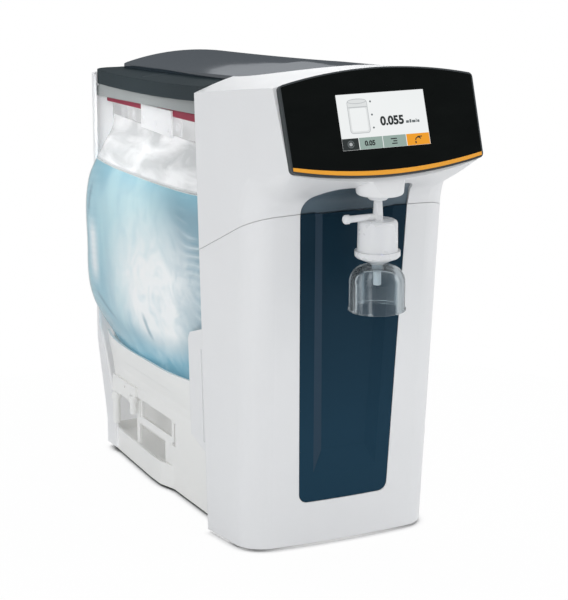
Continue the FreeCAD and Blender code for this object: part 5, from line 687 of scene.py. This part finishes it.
def bag_ring(z, inset, count=160):
    """One level of the film, or of the water inset millimetres inside it."""
    outer, inner, front, rear, heel, nose = [
        spline([(row[0], row[column]) for row in BAG_LEVELS], z) for column in range(1, 7)]
    plan = bag_plan(heel, nose)
    points = []
    for step in range(count):
        along, across = ring_point(plan, step / count)
        y = rear - along * (rear - front)
        x = -outer + across * (outer - inner)
        outward = smoothstep(0.75, 0.1, across)
        x = max(x - wrinkle(y, z, outward), FILM_REACH)
        x += inset * (1.0 - 2.0 * across)
        y += inset * (2.0 * along - 1.0)
        points.append((x, y, z))
    return points


def make_bag():
    """The film that stands in for the plain bag, the water in it and the clamped hem."""
    levels = [BAG_FOOT + 0.2, BAG_FOOT + 2.0, BAG_FOOT + 5.0, BAG_FOOT + 9.0]
    z = BAG_FOOT + 14.0
    while z < BAG_TOP:
        levels.append(z)
        z += BAG_STEP
    levels.append(BAG_TOP)
    vertices, faces = closed_rings([bag_ring(level, 0.0) for level in levels])
    film = mesh_piece("bag_film", vertices, faces, "film", "chassis")
    filled = [level for level in levels if level < WATER_LEVEL - 3.0]
    filled += [WATER_LEVEL - 2.0, WATER_LEVEL - 0.6, WATER_LEVEL]
    rings = [bag_ring(level, WATER_INSET) for level in filled]
    rings[-1] = bag_ring(WATER_LEVEL, SURFACE_INSET)
    vertices, faces = closed_rings(rings)
    water = mesh_piece("bag_water", vertices, faces, "water", "chassis")
    water.data.materials.append(MATERIALS["water_top"])
    for polygon in water.data.polygons:
        if polygon.center.z > (WATER_LEVEL - 0.3) * MM:
            polygon.material_index = 1
            polygon.use_smooth = False
    make_hem()
    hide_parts("water_bag")


def bar_top(y):
    """Height of the hanging bars' upper edge."""
    return BAR_REAR_TOP + BAR_RISE * (BAR_REAR - y) / BAR_LONG


def make_hem():
    """The flat upper part of the bag, clamped between the bars, with gentle pleats."""
    columns, rows = 90, 12
    vertices = []
    for side in (-1.0, 1.0):
        for row in range(rows + 1):
            for column in range(columns + 1):
                y = HEM_FRONT + (HEM_REAR - HEM_FRONT) * column / columns
                high = bar_top(y) - 3.0
                z = HEM_FOOT + (high - HEM_FOOT) * row / rows
                loose = 1.0 - smoothstep(0.55, 0.8, row / rows)
                x = HEM_X + 1.6 * loose * noise.noise(Vector((y * 0.06, z * 0.02, 4.4)))
                vertices.append((x + side * 0.2, y, z))
    faces = []
    sheet = (rows + 1) * (columns + 1)
    for row in range(rows):
        for column in range(columns):
            a = row * (columns + 1) + column
            b = a + 1
            c = a + columns + 2
            e = a + columns + 1
            faces.append((a, b, c, e))
            faces.append((sheet + e, sheet + c, sheet + b, sheet + a))
    border = list(range(columns + 1))
    border += [(row + 1) * (columns + 1) - 1 for row in range(1, rows + 1)]
    border += [rows * (columns + 1) + column for column in range(columns - 1, -1, -1)]
    border += [row * (columns + 1) for row in range(rows - 1, 0, -1)]
    for here, there in zip(border, border[1:] + border[:1]):
        faces.append((here, sheet + here, sheet + there, there))
    mesh_piece("bag_hem", vertices, faces, "hem_film", "chassis")


make_bag()


# ---------------------------------------------------------------------------
# Display graphics, just in front of the screen
# ---------------------------------------------------------------------------

LEAN_BACK = 35.0
LEAN_TALL = 103.5
TILT = math.atan(LEAN_BACK / LEAN_TALL)
DISPLAY_Z = 454.0
DISPLAY_FOOT_Y = -245.5
DISPLAY_FOOT_Z = 396.5
DISPLAY_BACK_Y = DISPLAY_FOOT_Y + (DISPLAY_Z - DISPLAY_FOOT_Z) * LEAN_BACK / LEAN_TALL
SCREEN_WIDE = 95.4
SCREEN_TALL = 53.6
SCREEN_MID = -2.8
FACE = 6.9
ROW_TALL = 11.2
ROW_GAP = 0.35
ROW_WIDTHS = (18.0, 43.8, 69.6)
PRINT_LIFT = 0.05
ICON_LIFT = 0.10


def on_screen(u, v, lift=0.0):
    """A place on the lit screen, u to the right and v up from its centre, in millimetres."""
    out = FACE + lift
    up = v + SCREEN_MID
    y = DISPLAY_BACK_Y + up * math.sin(TILT) - out * math.cos(TILT)
    z = DISPLAY_Z + up * math.cos(TILT) + out * math.sin(TILT)
    return (u, y, z)


def tile(name, outline, material, lift, thick=0.05):
    """A thin printed shape on the screen from corners (u, v)."""
    count = len(outline)
    vertices = [on_screen(u, v, lift) for u, v in outline]
    vertices += [on_screen(u, v, lift - thick) for u, v in outline]
    faces = [tuple(range(count)), tuple(range(2 * count - 1, count - 1, -1))]
    faces += [(i, i + count, (i + 1) % count + count, (i + 1) % count) for i in range(count)]
    return mesh_piece(name, vertices, faces, material, "chassis", smooth=False)


def oblong(left, right, low, high, corner=0.0, steps=5):
    """Corners of an upright rectangle, rounded by corner millimetres."""
    if corner <= 0.0:
        return [(left, low), (right, low), (right, high), (left, high)]
    points = []
    for centre_u, centre_v, start in ((right - corner, low + corner, -90.0),
                                      (right - corner, high - corner, 0.0),
                                      (left + corner, high - corner, 90.0),
                                      (left + corner, low + corner, 180.0)):
        for step in range(steps + 1):
            turn = math.radians(start + 90.0 * step / steps)
            points.append((centre_u + corner * math.cos(turn), centre_v + corner * math.sin(turn)))
    return points


def oval(centre_u, centre_v, half_u, half_v, start=0.0, end=360.0, steps=28):
    """Points on an oval, or on the part of it from start to end degrees."""
    points = []
    gaps = steps if end - start >= 360 else steps - 1
    for step in range(steps):
        turn = math.radians(start + (end - start) * step / gaps)
        points.append((centre_u + half_u * math.cos(turn), centre_v + half_v * math.sin(turn)))
    return points


def band(centre_u, centre_v, half_u, half_v, width, start, end):
    """The outline of a curved band of a set width, its outer edge on an oval."""
    outer = oval(centre_u, centre_v, half_u, half_v, start, end)
    inner = oval(centre_u, centre_v, half_u - width, half_v - width, start, end)
    return outer + inner[::-1]


def words(name, text, u, v, height, material, bold=0.0):
    """Plain numerals on the screen."""
    curve = bpy.data.curves.new(name, "FONT")
    curve.body = text
    curve.size = height * MM
    curve.align_x = "LEFT"
    curve.extrude = 0.00002
    curve.offset = bold * MM
    curve.materials.append(MATERIALS[material])
    piece = bpy.data.objects.new(name, curve)
    bpy.context.scene.collection.objects.link(piece)
    origin = Vector(on_screen(u, v, 0.08)) * MM
    turn = Matrix.Rotation(math.radians(90.0) - TILT, 4, "X")
    piece.matrix_world = Matrix.Translation(origin) @ turn
    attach(piece, "chassis")
    return piece


def make_screen():
    """The touch screen's drawing: a tank, a reading with its unit, and a row of four icons."""
    left, right = -SCREEN_WIDE / 2.0, SCREEN_WIDE / 2.0
    foot = -SCREEN_TALL / 2.0
    bounds = [left] + [left + width for width in ROW_WIDTHS] + [right]
    tints = ("screen_dark", "screen_sage", "screen_sage", "screen_orange")
    for index, tint in enumerate(tints):
        a = bounds[index] + (ROW_GAP if index else 0.0)
        b = bounds[index + 1] - ROW_GAP
        tile("row_%d" % index, oblong(a, b, foot, foot + ROW_TALL), tint, PRINT_LIFT)

    # tank: an upright cylinder with an oval mouth, drawn in pale greys
    tank_u, half = left + 21.5, 11.0
    low, high = -11.5, 21.0
    mouth = high - 1.4
    tile("tank_shell", oblong(tank_u - half, tank_u + half, low, high, 3.2), "screen_soft",
         PRINT_LIFT)
    tile("tank_wall", oblong(tank_u - half + 0.7, tank_u + half - 0.7, low + 0.7, high - 0.7, 2.8),
         "screen_light", 0.08)
    tile("tank_inner", oblong(tank_u - half + 2.2, tank_u + half - 2.2, low + 2.2, 13.0, 1.8),
         "screen_face", 0.11)
    tile("tank_line", oblong(tank_u - half + 0.9, tank_u + half - 0.9, 13.4, 14.4, 0.3),
         "screen_soft", 0.11)
    tile("tank_mouth", oval(tank_u, mouth, half - 0.6, 2.6), "screen_soft", 0.13)
    tile("tank_mouth_in", oval(tank_u, mouth, half - 1.5, 1.8), "screen_light", 0.16)
    for index, v in enumerate((18.6, 5.8, -6.8)):
        tile("mark_%d" % index, oval(tank_u + half + 3.6, v, 1.0, 1.0, steps=12), "screen_grey",
             PRINT_LIFT)

    # reading, and its unit as five bare strokes
    words("reading", "0.055", -3.6, -5.0, 11.6, "screen_dark", bold=0.52)
    strokes = ((24.2, 27.4, 2.4), (28.1, 30.1, 3.3), (30.8, 34.6, 2.4), (35.2, 36.0, 3.6),
               (36.6, 39.0, 2.4))
    unit_foot = -4.8
    for index, (start, end, tall) in enumerate(strokes):
        tile("unit_%d" % index, oblong(start, end, unit_foot, unit_foot + tall, 0.35),
             "screen_grey", PRINT_LIFT)

    # row icons
    middle = foot + ROW_TALL / 2.0
    dial_u = 0.5 * (bounds[0] + bounds[1])
    tile("dial_ring", band(dial_u, middle, 3.6, 3.6, 0.8, 0.0, 360.0), "screen_grey", ICON_LIFT)
    tile("dial_core", oval(dial_u, middle, 1.8, 1.8), "screen_mid", ICON_LIFT)
    words("litres", "0.05", bounds[1] + 6.0, middle - 2.3, 6.6, "screen_dark", bold=0.30)
    list_u = 0.5 * (bounds[2] + bounds[3])
    for index, (shift, wide) in enumerate(((-0.8, 3.4), (0.4, 2.2), (-0.4, 3.0))):
        v = middle + 2.3 - 2.3 * index
        tile("level_%d" % index, oblong(list_u + shift - wide, list_u + shift + wide, v - 0.55,
                                        v + 0.55, 0.3), "screen_dark", ICON_LIFT)
    spout_u = 0.5 * (bounds[3] + bounds[4])
    tile("spout_arc", band(spout_u, middle - 0.8, 3.4, 3.2, 1.1, 20.0, 185.0), "screen_dark",
         ICON_LIFT)
    tile("spout_head", oblong(spout_u - 0.6, spout_u + 4.4, middle + 1.9, middle + 3.0, 0.3),
         "screen_dark", 0.12)
    tile("drop", oval(spout_u - 3.0, middle - 3.0, 0.8, 1.2), "screen_dark", ICON_LIFT)


make_screen()


# ---------------------------------------------------------------------------
# Stage, light and camera
# ---------------------------------------------------------------------------

def make_floor():
    """A pale floor that keeps the object's contact shadow, darkened by a painted shadow tint, and
    is white to the camera beyond it.
    """
    mesh = bpy.data.meshes.new("floor")
    size = 6.0
    mesh.from_pydata([(-size, -size, 0), (size, -size, 0), (size, size, 0), (-size, size, 0)], [],
                     [(0, 1, 2, 3)])
    floor = bpy.data.objects.new("floor", mesh)
    bpy.context.scene.collection.objects.link(floor)
    graph = Graph("floor")
    clouds = graph.noise(1.2, detail=2.0)
    tint = graph.mix(graph.spread(clouds), (0.90, 0.90, 0.90, 1.0), (0.92, 0.92, 0.92, 1.0))
    shader = graph.principled(Roughness=0.7, Specular_IOR_Level=0.2)
    near = graph.openness(0.011, samples=8)
    clear = graph.remap(near, 0.46, 0.84, 0.0, 0.97)
    # Painted shadow: the floor's tint turns near black where the object's edge closes over it.
    contact = graph.remap(near, 0.20, 0.60, 1.0, 0.0)
    tint = graph.mix(contact, tint, (0.07, 0.07, 0.07, 1.0))
    graph.link(tint, shader.inputs["Base Color"])
    split = graph.add("ShaderNodeVectorMath", operation="LENGTH")
    graph.link(graph.coords.outputs["Object"], split.inputs[0])
    far = graph.remap(split.outputs["Value"], 0.30, 0.60, 0.0, 1.0)
    white = graph.math("MAXIMUM", clear, far)
    path = graph.add("ShaderNodeLightPath")
    seen = graph.math("MULTIPLY", white, path.outputs["Is Camera Ray"])
    glow = graph.add("ShaderNodeEmission")
    glow.inputs["Color"].default_value = CLEAR_WHITE
    glow.inputs["Strength"].default_value = 1.0
    both = graph.blend(seen, shader.outputs["BSDF"], glow.outputs["Emission"])
    graph.link(both, graph.out.inputs["Surface"])
    mesh.materials.append(graph.material)


def make_world():
    """Soft light that grows towards the zenith, and plain white to the camera."""
    world = bpy.data.worlds.new("studio")
    world.use_nodes = True
    tree = world.node_tree
    tree.nodes.clear()
    out = tree.nodes.new("ShaderNodeOutputWorld")
    path = tree.nodes.new("ShaderNodeLightPath")
    seen = tree.nodes.new("ShaderNodeBackground")
    seen.inputs["Color"].default_value = CLEAR_WHITE
    seen.inputs["Strength"].default_value = 1.0
    light = tree.nodes.new("ShaderNodeBackground")
    coords = tree.nodes.new("ShaderNodeTexCoord")
    split = tree.nodes.new("ShaderNodeSeparateXYZ")
    tree.links.new(coords.outputs["Generated"], split.inputs["Vector"])
    ramp = tree.nodes.new("ShaderNodeMapRange")
    ramp.inputs["From Min"].default_value = -0.2
    ramp.inputs["From Max"].default_value = 0.9
    ramp.inputs["To Min"].default_value = 0.46
    ramp.inputs["To Max"].default_value = 0.68
    tree.links.new(split.outputs["Z"], ramp.inputs["Value"])
    tree.links.new(ramp.outputs["Result"], light.inputs["Strength"])
    light.inputs["Color"].default_value = (0.97, 0.985, 1.0, 1.0)
    mix = tree.nodes.new("ShaderNodeMixShader")
    tree.links.new(path.outputs["Is Camera Ray"], mix.inputs["Fac"])
    tree.links.new(light.outputs["Background"], mix.inputs[1])
    tree.links.new(seen.outputs["Background"], mix.inputs[2])
    tree.links.new(mix.outputs["Shader"], out.inputs["Surface"])
    bpy.context.scene.world = world


def area(name, place, target, size, power):
    """A rectangular lamp at place, aimed at target."""
    data = bpy.data.lights.new(name, "AREA")
    data.shape = "RECTANGLE"
    data.size, data.size_y = size
    data.energy = power
    lamp = bpy.data.objects.new(name, data)
    bpy.context.scene.collection.objects.link(lamp)
    lamp.location = place
    aim = Vector(target) - Vector(place)
    lamp.rotation_euler = aim.to_track_quat("-Z", "Y").to_euler()
    return lamp


def make_lights():
    """A soft studio: four broad lamps, one for the lid's sheen and a small one for the bag bay."""
    area("key", (2.3, -1.5, 1.5), (0.0, -0.1, 0.25), (1.4, 1.4), 15.5)
    area("fill", (1.4, -1.9, 0.40), (0.05, -0.2, 0.15), (1.3, 0.6), 2.4)
    area("top", (0.2, 0.5, 2.3), (0.0, 0.0, 0.3), (1.8, 1.8), 13.0)
    area("left", (-2.0, -1.4, 1.0), (0.0, 0.0, 0.25), (1.4, 1.8), 14.2)
    sheen = area("sheen", (1.36, 2.63, 1.20), (0.0, 0.05, 0.48), (0.95, 0.95), 3.3)
    sheen.rotation_euler.rotate_axis("Z", math.radians(45.0))
    bay = area("bay", (-0.31, -0.13, 0.52), (-0.108, 0.222, 0.375), (0.10, 0.10), 0.072)
    bay.data.spread = math.radians(46.0)
    bay.visible_camera = False
    bay.visible_glossy = False


FOCAL_PIXELS = 2049.0
FRAME_TALL_PIXELS = 600.0
SENSOR = 36.0
CAMERA_PLACE = (-0.9497, -1.9326, 0.7570)
CAMERA_AZIMUTH = -26.4
CAMERA_ELEVATION = 13.9


def make_camera():
    """The camera at the photograph's viewing angle."""
    data = bpy.data.cameras.new("camera")
    data.sensor_fit = "AUTO"
    data.sensor_width = SENSOR
    data.lens = FOCAL_PIXELS / FRAME_TALL_PIXELS * SENSOR
    data.clip_start = 0.05
    data.clip_end = 30.0
    camera = bpy.data.objects.new("camera", data)
    bpy.context.scene.collection.objects.link(camera)
    camera.location = CAMERA_PLACE
    azimuth = math.radians(CAMERA_AZIMUTH)
    elevation = math.radians(CAMERA_ELEVATION)
    look = Vector((-math.sin(azimuth) * math.cos(elevation),
                   math.cos(azimuth) * math.cos(elevation), -math.sin(elevation)))
    camera.rotation_euler = look.to_track_quat("-Z", "Y").to_euler()
    bpy.context.scene.camera = camera


make_floor()
make_world()
make_lights()
make_camera()
bpy.context.scene.view_settings.view_transform = "Standard"
